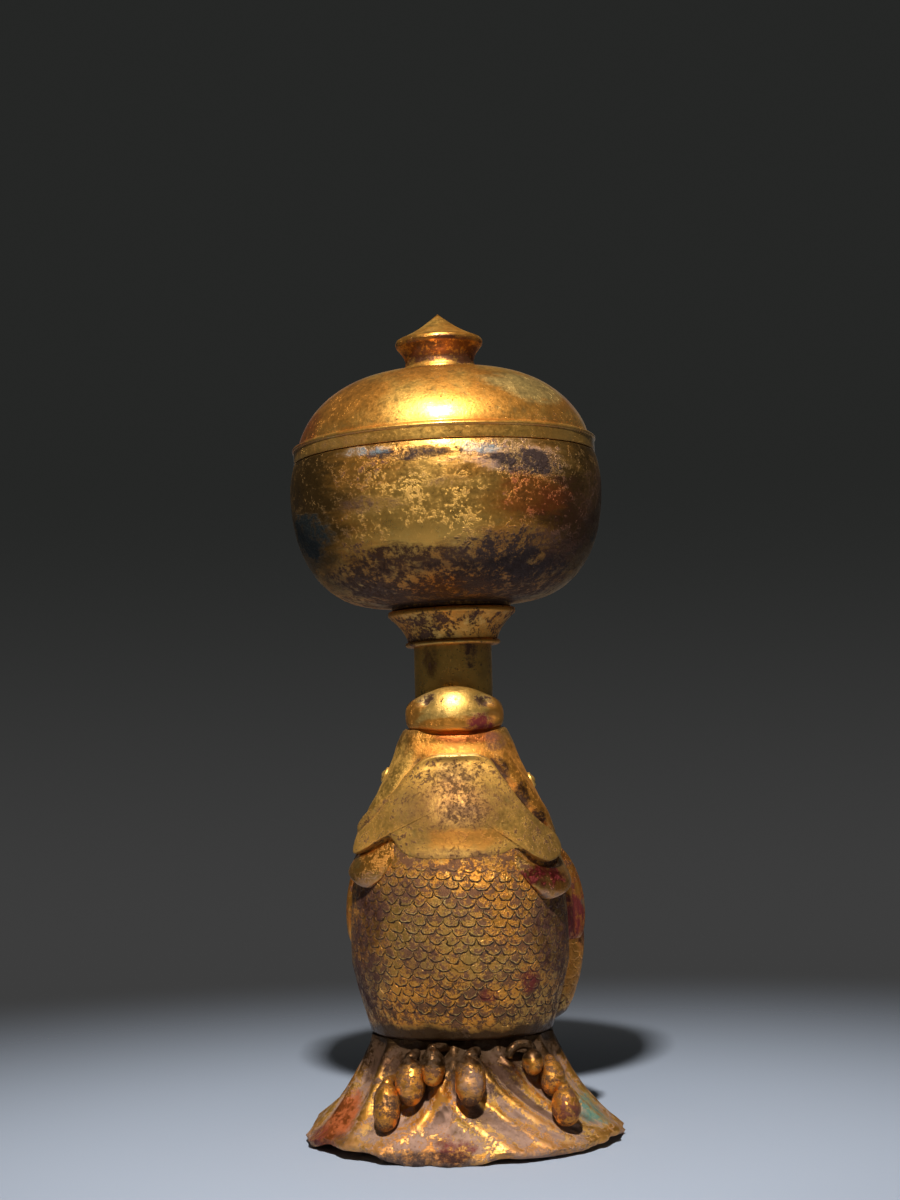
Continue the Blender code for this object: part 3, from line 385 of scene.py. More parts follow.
def gilding(
    name, gold, thin, oxide, cover, specks, rough, patch_size=0.020, stains_and_painted_light=(), relief=None,
    streak=(1.0, 1.0, 3.5), grainy=1.0, polish=0.0, calm=None,
):
    """Aged fire gilding. cover is the share lost to oxide, specks how pricked the skin is, grainy the strength of
    its finest relief, polish that of a clear shine. Above the height calm the wear is weaker. The list of patches is
    (colour, centre, radii, strength, crust), in millimetres; it holds real marks of age and also painted shade and
    painted highlights. Without a crust a patch keeps the metal's shine, and crust None is an even tone. relief(place)
    may add a chased pattern: its height, its lines and the glints beside them, which are a painted highlight."""
    material = bpy.data.materials.new(name)
    material.use_nodes = True
    tree = material.node_tree
    shader = tree.nodes["Principled BSDF"]
    place = node(tree, "ShaderNodeTexCoord", {}, {}, out=3)

    slow = grain(place, 0.026, 5.0, 0.6, 0.3)
    cloud = grain(place, 0.0085, 6.0, 0.68, 0.4)
    fine = grain(place, 0.0030, 6.0, 0.7)
    dust = grain(place, 0.0011, 3.0, 0.75)
    streaks = grain(stretched(place, streak), 0.012, 8.0, 0.74, 0.35)
    hollow = node(tree, "ShaderNodeAttribute", {"attribute_name": "hollow"}, {}, out=2)

    colour = mix(slow.step(0.40, 0.60), gold, thin)
    colour = mix(cloud.step(0.50, 0.66) * 0.50, colour, thin)
    colour = mix(fine.step(0.54, 0.70) * 0.45, colour, oxide)
    colour = mix(fine.step(0.44, 0.32) * 0.30, colour, PALE_GOLD)
    height = (fine - 0.5) * 0.45 + (slow - 0.5) * 0.5 + (dust - 0.5) * (0.25 * grainy)

    low = 0.620 - cover * 0.30
    thick = grain(place, patch_size, 9.0, 0.74, 0.3) * 0.34 + streaks * 0.20 + fine * 0.24 + dust * 0.22
    rust = (thick + (hollow - 0.5) * 0.08).step(low, low + 0.045)
    low = 0.640 - specks * 0.10
    pricks = (dust * 0.50 + cloud * 0.30 + fine * 0.20).step(low, low + 0.035)
    if relief is not None:
        chased, lines, glints = relief(place)
        height = height + chased
    grime = hollow.step(0.60, 0.95) * (0.35 + fine.step(0.40, 0.56) * 0.65)
    if calm is not None:
        above = node(tree, "ShaderNodeSeparateXYZ", {}, {0: place}, out=2).step(calm - 0.004, calm + 0.004)
        rust, pricks = rust * (1.0 - above * 0.75), pricks * (1.0 - above * 0.55)
    worn = (rust * 0.92).larger(pricks * 0.80).larger(grime * 0.90)
    colour = mix(hollow.step(0.42, 0.10) * (0.55 * (1.0 - rust * 0.8)), colour, gold)
    colour = mix(worn, colour, mix(streaks.step(0.50, 0.64), oxide, BROWN))
    colour = mix(hollow.step(0.74, 1.0) * 0.80, colour, BROWN)
    if relief is not None:
        # painted highlight: pale gold glints beside the chased lines
        colour = mix(glints * fine.step(0.42, 0.56) * 0.50, colour, PALE_GOLD)
        colour = mix(lines * (cloud.step(0.30, 0.46) * 0.95), colour, BROWN_CRUST)
    dull = worn
    crusts = None
    # the patches are real marks of age, painted shade and painted highlights; each finish's list says which are
    # painted
    for stain_or_light_colour, centre, radii, strength, crust in stains_and_painted_light:
        area = patch(place, centre, radii, streak) * strength
        is_dark = stain_or_light_colour[0] < DARK_RED
        if crust is not None and is_dark:
            area = area * (0.30 + (cloud * 0.4 + fine * 0.35 + dust * 0.25).step(0.42, 0.56) * 0.70)
        area = area.smaller(1.0)
        colour = mix(area, colour, stain_or_light_colour)
        if crust and is_dark:
            dull = dull.larger(area)
        if crust:
            raised = area * (dust * 0.8 + fine) * crust
            crusts = raised if crusts is None else crusts + raised
    scratch = grain(stretched(place, (0.35, 0.35, 9.0), (0.0, 0.12, 0.0)), 0.0030, 2.0, 0.5).step(0.69, 0.72)
    colour = mix(scratch * (1.0 - dull) * 0.12, colour, PALE_GOLD)

    height = height - pricks * 0.60 + rust * 0.35 - scratch * 0.05
    if crusts is not None:
        height = height + crusts
    bump = node(tree, "ShaderNodeBump", {}, {"Height": height, "Strength": 0.90, "Distance": RELIEF})
    roughness = rough + (fine - 0.5) * 0.50 + (cloud - 0.5) * 0.40 + (dust - 0.5) * 0.40 + dull * 0.22
    roughness = roughness - hollow.step(0.45, 0.10) * 0.08
    values = {"Base Color": colour, "Roughness": roughness, "Metallic": 0.90 - dull * 0.50, "Normal": bump}
    for key, value in values.items():
        tree.links.new(value.socket, shader.inputs[key])
    shader.inputs["Coat Weight"].default_value = polish
    shader.inputs["Coat Roughness"].default_value = COAT_ROUGHNESS
    print("finish", name, "nodes:", len(tree.nodes))
    return material


# %% [markdown]
# ## The foot of waves
# The foot is a hollow flare whose surface is drawn up into ridges of running water. The ridges leave the neck close
# together, sweep to one side and spread towards a wavy rim. Each ridge is a rounded crest, so its height falls off
# quickly from a line whose angle depends on how far down the flare it is.

# %% Sizes of the foot, in metres
FOOT_RADIUS = 0.0545
FOOT_HEIGHT = 0.0365
FOOT_NECK = 0.0318
RIM_EDGE = 0.0022
RIM_LIFT = 0.0030
REST_ANGLES = (-10.0, 95.0, 170.0, 275.0)
NECK_RECESS = 0.0035
FOOT_BORE = 0.0252
SPIGOT_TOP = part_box("wave_foot")[1][2]
FOOT_WALL = 0.0033
FOOT_ROWS = 96
RIDGES = (
    (-75.0, -72.0, 0.0034, 6.0),
    (-52.0, -44.0, 0.0036, 5.0),
    (-5.0, -30.0, 0.0032, 5.0),
    (-28.0, 11.0, 0.0009, 3.0),
    (-20.0, 18.0, 0.0036, 5.4),
    (-14.0, 26.0, 0.0008, 2.6),
    (-7.0, 34.0, 0.0038, 5.2),
    (-1.0, 40.0, 0.0008, 2.6),
    (5.0, 47.0, 0.0036, 5.4),
    (22.0, 59.0, 0.0030, 4.6),
    (56.0, 68.0, 0.0032, 4.2),
    (76.0, 94.0, 0.0026, 4.5),
)


# %% The waves' surface
def rim_height(angle):
    """The rim's underside: 0 on the four rests, RIM_LIFT between them, and less at the front right."""
    away = np.min([np.abs(turn_between(angle, rest)) for rest in REST_ANGLES], axis=0)
    low = 1.0 - 0.70 * hump(turn_between(angle, 36.0), 30.0)
    return RIM_LIFT * low * ease((away - 10.0) / 16.0)


def flare(share):
    """Plain flare: radius grows with share and, more steeply, with share to the power 2.2."""
    return FOOT_NECK + (FOOT_RADIUS - FOOT_NECK) * (0.08 * share + 0.92 * share**2.2)


def ridges(angle, share):
    """Sum of the ridges: each is a rounded crest round its own swept line, twice round the foot. The neck is recessed
    under the fish's belly in front and behind."""
    total = 0.0
    for neck, rim, height, width in RIDGES:
        for half_turn in (0.0, 180.0):
            line = neck + (rim - neck) * share**1.6 + half_turn
            total = total + height * hump(turn_between(angle, line), width)
    recess = hump(turn_between(angle, 0.0), 55.0) + hump(turn_between(angle, 180.0), 55.0)
    return total * np.sin(np.pi * (0.10 + 0.78 * share)) - NECK_RECESS * recess * ease((0.26 - share) / 0.2)


def foot_level(angle, share):
    """Height on the outside at a share of the way from the neck to the rim."""
    return FOOT_HEIGHT - share * (FOOT_HEIGHT - RIM_EDGE - rim_height(angle))


def foot_radius(angle, z):
    """Radius of the finished foot at an angle and a height."""
    drop = FOOT_HEIGHT - foot_level(angle, 1.0)
    share = np.clip((FOOT_HEIGHT - z) / drop, 0.0, 1.0)
    return flare(share) + ridges(angle, share)


# %% Foot mesh
def build_foot(material):
    """One endless strip of rings: spigot, ridged outside, rim, and the plain inside back up to the spigot."""
    angle = np.linspace(0.0, 360.0, 560, endpoint=False)
    spigot = FOOT_BORE + 0.0024
    corners = ((FOOT_BORE, SPIGOT_TOP), (spigot, SPIGOT_TOP), (spigot, FOOT_HEIGHT))
    rings = [polar(radius, angle, z) for radius, z in corners]
    first = len(rings)
    for share in np.linspace(0.0, 1.0, FOOT_ROWS):
        rings.append(polar(flare(share) + ridges(angle, share), angle, foot_level(angle, share)))
    circle = polar(FOOT_RADIUS, angle, 0.0)
    eaten = 0.0010 * uneven(circle, 0.006, 5) + 0.0004 * uneven(circle, 0.0018, 6)
    eaten = eaten * (1.0 + 1.2 * hump(turn_between(angle, -14.0), 14.0))
    edge = FOOT_RADIUS + ridges(angle, 1.0) * 0.9 + eaten + 0.0012 * hump(turn_between(angle, -11.0), 5.0)
    for turn in np.radians((20.0, 45.0, 70.0)):
        level = rim_height(angle) + RIM_EDGE * (1 - np.sin(turn))
        rings.append(polar(edge - 0.0011 * (1 - np.cos(turn)), angle, level))
    rings.append(polar(edge - 0.0014, angle, rim_height(angle)))
    under = FOOT_HEIGHT - 0.0030
    for share in np.linspace(1.0, 0.0, 24):
        rings.append(polar(flare(share) - FOOT_WALL, angle, under - share * (under - rim_height(angle) - 0.0003)))
    rings.append(polar(FOOT_BORE, angle, under))
    points = np.array(rings)
    skin = points[first : first + FOOT_ROWS + 1]
    skin[:] = push_out(skin, 0.00026 * uneven(skin, 0.006, 1) + 0.00014 * uneven(skin, 0.0022, 2))
    foot = casting("foot_of_waves", points, material, "stand", ring_rows=True)
    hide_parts("wave_foot")
    print("foot radius mm", round(float(np.hypot(points[..., 0], points[..., 1]).max() / MM), 1))


# %% [markdown]
# Small waves curl over at the front and end in round drops, like beads of spray. Each is a rod along a short path:
# it leaves the foot at its root, rises in a curl, and swells into the hanging drop, whose radius follows an ellipse.

# %% Sizes of the crests
CRESTS = (
    (-33.6, 0.0170, 0.0045, 0.0074, -40.0, 0.0240, 0.0004),
    (-26.0, 0.0246, 0.0050, 0.0072, -31.0, 0.0320, 0.0002),
    (-14.8, 0.0296, 0.0040, 0.0059, -10.5, 0.0340, 0.0002),
    (2.8, 0.0256, 0.0051, 0.0076, 8.0, 0.0330, 0.0002),
    (38.8, 0.0288, 0.0035, 0.0039, 27.0, 0.0305, 0.0022),
    (48.0, 0.0232, 0.0043, 0.0052, 55.0, 0.0280, 0.0004),
    (42.5, 0.0150, 0.0048, 0.0056, 50.0, 0.0195, 0.0004),
)
DROP_LEAN = 0.50
ROOT_RADIUS = 0.0013
STAND_OFF = 0.0005
ROD_SIDES = 28


# %% Rod along a path
def rod(path, radii):
    """Circles square to a nearly flat path: one side of each is the path's own plane, found from its spread."""
    tangent = np.gradient(path, axis=0)
    tangent /= np.linalg.norm(tangent, axis=1, keepdims=True)
    across = np.linalg.svd(path - path.mean(axis=0))[2][2]
    side = across - tangent * (tangent @ across)[:, None]
    side /= np.linalg.norm(side, axis=1, keepdims=True)
    up = np.cross(tangent, side)
    turn = np.linspace(0.0, 2 * np.pi, ROD_SIDES, endpoint=False)[None, :, None]
    return path[:, None] + (side[:, None] * np.cos(turn) + up[:, None] * np.sin(turn)) * radii[:, None, None]


def crest(angle, z, half_width, half_height, root_angle, root_z, rise):
    """Path and radii: a curl that bends over a point above the drop, then the drop's leaning middle line."""
    t = np.linspace(-0.90, 1.0, 34)
    size = half_width * np.sqrt(np.clip(1 - np.abs(t) ** 2.2, 0.0, 1.0))
    level = z - half_height * t
    behind = (foot_radius(angle, level) + size - DROP_LEAN * half_height * t).max() + STAND_OFF
    reach = behind + DROP_LEAN * half_height * t
    drop = polar(reach, angle * behind / reach, level)
    root = polar(foot_radius(root_angle, root_z) + ROOT_RADIUS * 0.1, root_angle, root_z)
    over = 2 * (max(root_z, drop[0, 2]) + rise) - (root_z + drop[0, 2]) / 2
    s = np.linspace(0.0, 1.0, 26)[:-1, None]
    stem = root + (drop[0] - root) * (1 - np.cos(np.pi * s)) / 2
    stem[:, 2:] = root_z * (1 - s) ** 2 + over * 2 * s * (1 - s) + drop[0, 2] * s**2
    stem_size = ROOT_RADIUS * (1.25 - 0.25 * s[:, 0]) + (size[0] - ROOT_RADIUS) * ease((s[:, 0] - 0.25) / 0.75)
    size = np.where(t < 0, np.maximum(size, ROOT_RADIUS), size)
    size = size * (1 - 0.045 * hump(t - 0.52, 0.06))
    return np.concatenate([stem, drop]), np.concatenate([stem_size, size])


def build_crests(material):
    """Every crest is made in front and, for the back, turned round the axis by half a turn."""
    for side, sign in (("front", 1), ("rear", -1)):
        for number, sizes in enumerate(CRESTS, start=1):
            path, radii = crest(*sizes)
            points = rod(path, np.maximum(radii, 1e-5))
            tips = np.repeat(path[[0, -1]][:, None], points.shape[1], axis=1)
            points = np.concatenate([tips[:1], points, tips[1:]])
            points += 0.00030 * uneven(points, 0.0035, 3)[..., None]
            points[[0, -1]] = points[[0, -1]].mean(axis=1, keepdims=True)
            points = points * (sign, sign, 1)
            made = casting(f"curled_{side}_crest_{number}", points, material, "stand")
            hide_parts(f"wave_crest_{side}_{number}")


# %% [markdown]
# ## The fish
# The trunk is one hollow casting, thinnest at the mouth and swelling to the belly. Its section is a round belly
# joined to a flatter back that swells out behind it. The head has a rounded band along each side of the chin plate,
# with a groove between band and plate. A radius for each angle and height gives the whole outside, and the plates
# and fins follow the same function, so they lie on the fish without fitting.

# %% Sizes of the fish, in metres
BODY_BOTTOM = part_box("fish_body")[0][2]
BODY_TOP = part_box("fish_body")[1][2]
BELLY = (
    (0.0368, 0.0315), (0.0460, 0.0342), (0.0540, 0.0364), (0.0620, 0.0379), (0.0700, 0.0382), (0.0800, 0.0377),
    (0.0880, 0.0366), (0.0960, 0.0348), (0.1030, 0.0333), (0.1095, 0.0320), (0.1210, 0.0272), (0.1310, 0.0223),
    (0.1370, 0.0202), (0.1415, 0.0180),
)
BACK = (
    (0.0368, 0.0290), (0.0400, 0.0345), (0.0490, 0.0386), (0.0565, 0.0405), (0.0650, 0.0414), (0.0760, 0.0405),
    (0.0870, 0.0384), (0.0940, 0.0360), (0.1045, 0.0310), (0.1160, 0.0240), (0.1300, 0.0150), (0.1415, 0.0090),
)
BELLY_DEPTH = 1.03
BACK_DEPTH = 0.0245
BACK_SHIFT = (0.0035, 0.0235)
CREASE_ROUND = 0.0008
HEAD_SKEW = 0.06
PLATE_SIDE = (
    (0.0960, 84.0), (0.1030, 82.0), (0.1060, 74.0), (0.1110, 60.0), (0.1160, 52.0), (0.1220, 43.0), (0.1270, 36.0),
    (0.1310, 31.0), (0.1340, 29.0),
)
BAND_HEIGHT = 0.0013
GROOVE_DEPTH = 0.0013
TUBE_RADIUS = 0.0137
THROAT_RADIUS = 0.0140
THROAT_LEDGE_Z = BODY_TOP - 0.0140


# %% The fish's surface
def reach(angle, half_x, half_y, centre_x, centre_y):
    """Far side of an ellipse seen from the axis in one direction: the larger root of its quadratic, or 0."""
    dx, dy = np.sin(np.radians(angle)), -np.cos(np.radians(angle))
    a = (dx / half_x) ** 2 + (dy / half_y) ** 2
    b = dx * centre_x / half_x**2 + dy * centre_y / half_y**2
    c = (centre_x / half_x) ** 2 + (centre_y / half_y) ** 2 - 1
    inside = b * b - a * c
    return np.where(inside > 0, (b + np.sqrt(np.maximum(inside, 0))) / a, 0.0)


def trunk_radius(angle, z):
    """Belly and back ellipses joined: the larger radius, plus a fillet that fades as the two part."""
    width, back = through(BELLY, z), through(BACK, z)
    share = back / max(half for _, half in BACK)
    belly = reach(angle, width, width * BELLY_DEPTH, 0.0, 0.0)
    behind = reach(angle, back, BACK_DEPTH * share, BACK_SHIFT[0] * share, BACK_SHIFT[1] * share**1.5)
    larger, smaller = np.maximum(belly, behind), np.minimum(belly, behind)
    return larger + CREASE_ROUND * np.exp(-(larger - smaller) / CREASE_ROUND)


def fish_radius(angle, z):
    """The trunk with the head's relief: a groove beside the chin plate and a rounded band outside the groove."""
    level = z + HEAD_SKEW * through(BELLY, z) * np.sin(np.radians(angle))
    beside = np.abs(turn_between(angle, 0.0)) - through(PLATE_SIDE, level)
    room = ease((level - 0.1010) / 0.0060) * ease((0.1425 - level) / 0.0050)
    narrow = 1.0 - 0.35 * ease((0.1150 - level) / 0.0120)
    band = BAND_HEIGHT * hump(beside - 17.0 * narrow, 11.0 * narrow)
    right = 0.5 + 0.5 * np.sin(np.radians(angle))
    groove = GROOVE_DEPTH * (0.5 + right) * hump(beside - 2.5, 3.5) * ease((0.1330 - level) / 0.0050)
    brow = 0.0008 * hump(level - 0.1350, 0.0022) * hump(turn_between(angle, 0.0), 34.0)
    return trunk_radius(angle, z) + (band - groove - brow) * room


def on_fish(angle, z, stand_off):
    """Points on the fish's surface, moved out by stand_off."""
    return polar(fish_radius(angle, z) + stand_off, angle, z)


# %% Fish mesh
def build_fish(material):
    """One endless strip: outside from the tail to the mouth, throat, ledge, and the plain inside back down."""
    angle = np.linspace(0.0, 360.0, 432, endpoint=False)
    levels = np.linspace(BODY_BOTTOM, BODY_TOP, 170)
    rings = [polar(fish_radius(angle, z), angle, z) for z in levels]
    rings[0] = polar(fish_radius(angle, levels[0]) - 0.0006, angle, levels[0])
    mouth = fish_radius(angle, BODY_TOP)
    rings[-1] = polar(mouth - 0.0005, angle, BODY_TOP)
    for share in (0.35, 0.7):
        rings.append(polar(mouth + (THROAT_RADIUS - mouth) * share, angle, BODY_TOP))
    ledge, under = THROAT_LEDGE_Z, THROAT_LEDGE_Z - 0.0030
    for radius, z in (
        (THROAT_RADIUS, BODY_TOP), (THROAT_RADIUS, ledge), (0.0107, ledge), (0.0107, under), (0.0158, under),
    ):
        rings.append(polar(radius, angle, z))
    for z in np.linspace(0.1215, 0.0460, 26):
        rings.append(polar(trunk_radius(angle, z) - 0.0030, angle, z))
    rings += [polar(0.0285, angle, 0.0440), polar(0.0285, angle, BODY_BOTTOM)]
    points = np.array(rings)
    skin = points[1 : len(levels) - 1]
    skin[:] = push_out(skin, 0.00022 * uneven(skin, 0.012, 7) + 0.00010 * uneven(skin, 0.004, 8))
    fish = casting("fish_trunk", points, material, "stand", ring_rows=True)
    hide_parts("fish_body")
    print("fish faces:", len(fish.data.polygons))


# %% [markdown]
# The fish's scales are chased, that is, cut with small curved punches after casting. They are too fine for the mesh,
# so the finish carries them. Each row is a line of arcs whose free edge hangs down towards the tail, and every other
# row is shifted by half a scale. The sums below find, for any place, how far it is from the nearest arc.


# %% Scales as sums
SCALES_ROUND = 44.0
SCALE_ROW = 0.0030


def scales(place):
    """Height, lines and glints of overlapping scales; the glints are a painted highlight, pale gold just beside each
    line. Across a scale x runs from -1/2 to 1/2 and its free edge hangs down to f = square root of 1 - 4x^2, where f
    is the share of a row's height."""
    tree = place.tree
    parts = [node(tree, "ShaderNodeSeparateXYZ", {}, {0: place}, out=axis) for axis in range(3)]
    turn = parts[0].direction(parts[1] * -1.0) / (2 * np.pi)
    wander = grain(place, 0.0050, 3.0, 0.6)
    level = parts[2] + parts[0] * HEAD_SKEW
    row_place = level * (-1.0 / SCALE_ROW) + (wander - 0.5) * 0.75
    row = row_place.floor()
    f = row_place - row
    odd = (row * 0.5).fraction()
    x = (turn * SCALES_ROUND + odd + (grain(place, 0.0043, 3.0, 0.6) - 0.5) * 0.8).fraction() - 0.5
    edge = (1.0 - x * x * 4.0).larger(0.0).root()
    gap = f - edge
    lines = 1.0 - gap.size().step(0.05, 0.17)
    on_scale = gap.step(0.04, -0.04)
    rays = (x * 6.0 + wander * 3.0).fraction().step(0.30, 0.05) * on_scale * 0.30
    lift = on_scale * 0.35 + f * 0.4 - rays
    sideways = turn.size()
    first_row = 0.0935 + sideways.step(0.12, 0.34) * 0.020
    room = (first_row - level).step(-0.0012, 0.0012) * level.step(0.0400, 0.0460)
    # glints: a painted highlight, a pale band just beside each scale's line
    glints = 1.0 - (gap + 0.17).size().step(0.03, 0.09)
    return (lift * 1.1 - lines * 1.2) * room, lines * room, glints * room


# %% [markdown]
# ## Plates and covers of the head
# The skilful part of this casting is the head, which is built from plates that lie over each other. The chin plate
# is a shield with a rolled top edge and a rounded lobe at each lower corner, and a gill cover curls out from under
# each lobe. A plate's outline is a smooth closed curve through a few angles and heights. Its rows run from a point
# in the middle out to the outline, where the edge rounds over and comes back underneath.

# %% Outlines, as angle from the front and height in metres
CHIN_MIDDLE = (-2.0, 0.1165)
CHIN_OUTLINE = (
    (-25.2, 0.1317), (-16.0, 0.1325), (-8.0, 0.1328), (8.8, 0.1328), (18.0, 0.1325), (26.0, 0.1314), (33.0, 0.1289),
    (36.5, 0.1250), (41.5, 0.1198), (47.5, 0.1145), (56.0, 0.1094), (66.0, 0.1058), (74.0, 0.1030), (77.0, 0.0996),
    (73.0, 0.0970), (63.0, 0.0953), (54.0, 0.0948), (46.5, 0.0963), (39.5, 0.0990), (32.0, 0.1000), (24.2, 0.0986),
    (8.2, 0.0978), (-6.5, 0.0975), (-22.0, 0.0979), (-33.0, 0.0998), (-38.5, 0.1028), (-43.0, 0.1049),
    (-49.0, 0.1038), (-57.0, 0.1014), (-67.0, 0.0994), (-78.0, 0.0984), (-86.5, 0.1002), (-89.0, 0.1038),
    (-86.0, 0.1076), (-79.0, 0.1108), (-69.5, 0.1139), (-58.0, 0.1172), (-49.5, 0.1210), (-45.5, 0.1243),
    (-40.0, 0.1275), (-33.0, 0.1300),
)
COVER_STEPS = (0.0, 0.2, 0.4, 0.6, 0.75, 0.88, 1.0)
COVERS = {
    "left": (
        ((-89.0, 0.1062), (-87.5, 0.1010), (-79.0, 0.0984), (-66.0, 0.0990), (-55.5, 0.1010), (-47.0, 0.1032),
         (-40.0, 0.1042)),
        ((-94.0, 0.1070), (-98.0, 0.0992), (-92.0, 0.0928), (-72.0, 0.0896), (-56.5, 0.0876), (-46.5, 0.0905),
         (-38.5, 0.0975)),
    ),
    "right": (
        ((88.0, 0.1040), (87.0, 0.0985), (77.0, 0.0946), (62.0, 0.0930), (52.0, 0.0936), (42.0, 0.0957),
         (33.0, 0.0985)),
        ((92.0, 0.1050), (97.0, 0.0960), (92.0, 0.0880), (66.0, 0.0836), (52.0, 0.0824), (42.0, 0.0866),
         (31.5, 0.0945)),
    ),
}


# %% Chin plate
BLUR = 24


def closed_curve(corners, count):
    """Smooth closed curve through the corners: each stretch is a Catmull-Rom cubic of its four nearest corners."""
    p = np.array(corners, float)
    at = np.linspace(0.0, len(p), count, endpoint=False)
    i, t = np.floor(at).astype(int), (at % 1.0)[:, None]
    a, b, c, d = (p[(i + k) % len(p)] for k in (-1, 0, 1, 2))
    bend = (2 * a - 5 * b + 4 * c - d) * t**2 + (3 * b - a - 3 * c + d) * t**3
    return (2 * b + (c - a) * t + bend) / 2


def build_chin_plate(material):
    """Rows go out from the middle and the share is squeezed near the edge, where the plate rounds over. The edge's
    thickness is averaged along the outline, so no crease runs in from a corner."""
    outline = closed_curve(CHIN_OUTLINE, 420)
    angle, z = outline.T
    low = ease((0.1100 - z) / 0.0080)
    lobe = low * ease((np.abs(angle) - 37.0) / 12.0)
    top = ease((z - 0.1285) / 0.0030)
    edge = 0.0012 + 0.0018 * top + 0.0020 * lobe - 0.00105 * low * (1 - ease((np.abs(angle) - 34.0) / 10.0))
    middle = np.array(CHIN_MIDDLE)
    span = np.hypot((angle - middle[0]) * 0.00058, z - middle[1])
    share = 1.0 - np.linspace(1.0, 0.0, 84)[:, None] ** 1.8
    places = middle + (outline - middle) * share[..., None]
    inwards = (1.0 - share) * span
    roll = np.sqrt(np.clip(1.0 - (1.0 - np.clip(inwards / (0.0016 + 0.0008 * top), 0.0, 1.0)) ** 2, 0.0, 1.0))
    reach_in = 0.0050 + 0.0090 * lobe - 0.0030 * top
    window = hump(np.arange(-BLUR, BLUR + 1), 11.0)
    window = window / window.sum()
    edge, reach_in = (np.convolve(np.r_[v[-BLUR:], v, v[:BLUR]], window, "valid") for v in (edge, reach_in))
    keep = hump(inwards, reach_in)
    inner = 0.0007 - 0.0005 * ease((0.1090 - places[..., 1]) / 0.0090)
    thick = (edge * keep + inner * (1.0 - keep)) * roll
    upper = on_fish(places[..., 0], places[..., 1], thick)
    lower = on_fish(places[..., 0], places[..., 1], -0.0003)
    points = np.concatenate([upper, lower[::-1]])
    points[: len(upper)] += 0.00010 * uneven(points[: len(upper)], 0.006, 11)[..., None]
    points[[0, -1]] = points[[0, -1]].mean(axis=1, keepdims=True)
    made = casting("chin_shield", points, material, "stand")
    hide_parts("chin_plate")


# %% Gill covers
def build_gill_cover(side, material):
    """A ribbon between an inner and an outer curve: fullest at its lower point, rounded over at both edges."""
    t = np.linspace(0.0, 1.0, 150)[:, None]
    s = 0.5 - 0.5 * np.cos(np.linspace(0.0, np.pi, 56))[None, :]
    near, far = ([through(list(zip(COVER_STEPS, v)), t) for v in zip(*curve)] for curve in COVERS[side])
    angle, z = (a + (b - a) * s for a, b in zip(near, far))
    across = np.sqrt(np.clip(1.0 - (2 * s - 1) ** 2, 0.0, 1.0)) ** 0.7 * (0.55 + 0.45 * s)
    along = np.sin(np.pi * np.clip(0.03 + 0.97 * t, 0, 1)) ** 0.6
    full = 0.0022 + 0.0030 * hump(t - 0.66, 0.24)
    top = on_fish(angle, z, full * across * along - 0.0001)
    made = plate(f"curled_cover_{side}", top, on_fish(angle, z, -0.0004), material, "stand")
    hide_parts(f"gill_cover_{side}")


# %% [markdown]
# ## Lip, eyes and fins
# The lip is a thick roll that swells into a blunt snout in front, squared off like a cushion, with a dent on each
# side of its top for the nostrils. The eyes are low domes with a ringed pupil. The pectoral fins lie folded against
# the flanks, and a low comb of rays runs down the spine.

# %% Lip
LIP_BOTTOM = BODY_TOP - 0.0002
LIP_HEIGHT = 0.0146
LIP_SIDE = 0.0172
LIP_FRONT = 0.0224
NOSTRILS = ((-30.0, 0.0024, 6.5), (34.0, 0.0030, 10.0))


def build_lip(material):
    """Each section is half of a superellipse, (2z)^n + r^n = 1, with n 2.1 above and 2.6 below, closed by the straight
    bore. The height is raised to a power, so the roll is widest low down and its front slopes back to the top."""
    angle = np.linspace(0.0, 360.0, 288, endpoint=False)[None, :]
    turn = np.linspace(-np.pi / 2, np.pi / 2, 44)[:, None]
    front = np.clip(np.cos(np.radians(angle)), 0.0, 1.0) ** 1.5
    power = np.where(turn > 0, 2.1, 2.6)
    out = np.abs(np.cos(turn)) ** (2 / power)
    up = 0.5 + 0.5 * np.sign(np.sin(turn)) * np.abs(np.sin(turn)) ** (2 / power)
    up = up ** (1.0 + 0.8 * front)
    height = LIP_HEIGHT * (0.68 + 0.32 * front**1.6)
    limit = LIP_SIDE + (LIP_FRONT - LIP_SIDE) * front
    radius = THROAT_RADIUS + 0.0006 + (limit - THROAT_RADIUS - 0.0006) * out
    z = LIP_BOTTOM + height * up
    for place, depth, wide in NOSTRILS:
        dent = hump(turn_between(angle, place), wide) * hump(up - 0.76, 0.15)
        radius = radius - depth * dent * out
        z = z - depth * 0.4 * dent
    radius = radius - 0.0014 * hump(up - 0.34, 0.14) * hump(turn_between(angle, 40.0), 14.0) * out
    z = z - 0.0018 * front**2 * (1 - up) ** 2 * out
    skin = polar(radius, angle, z)
    skin += 0.00016 * uneven(skin, 0.005, 15)[..., None]
    bore = polar(THROAT_RADIUS, angle, np.linspace(1.0, 0.0, 5)[:, None] * height + LIP_BOTTOM)
    made = casting("lip_roll", np.concatenate([skin, bore]), material, "stand", ring_rows=True)
    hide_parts("mouth_lip")


# %% Eyes
EYE_ANGLE = 88.0
EYE_HEIGHT = 0.1242
EYE_PROFILE = (
    (0.0, -0.0009), (0.0028, -0.0009), (0.0029, 0.0001), (0.0026, 0.0006), (0.0021, 0.0008), (0.0018, 0.0006),
    (0.0013, 0.0009), (0.0009, 0.0012), (0.0, 0.0014),
)


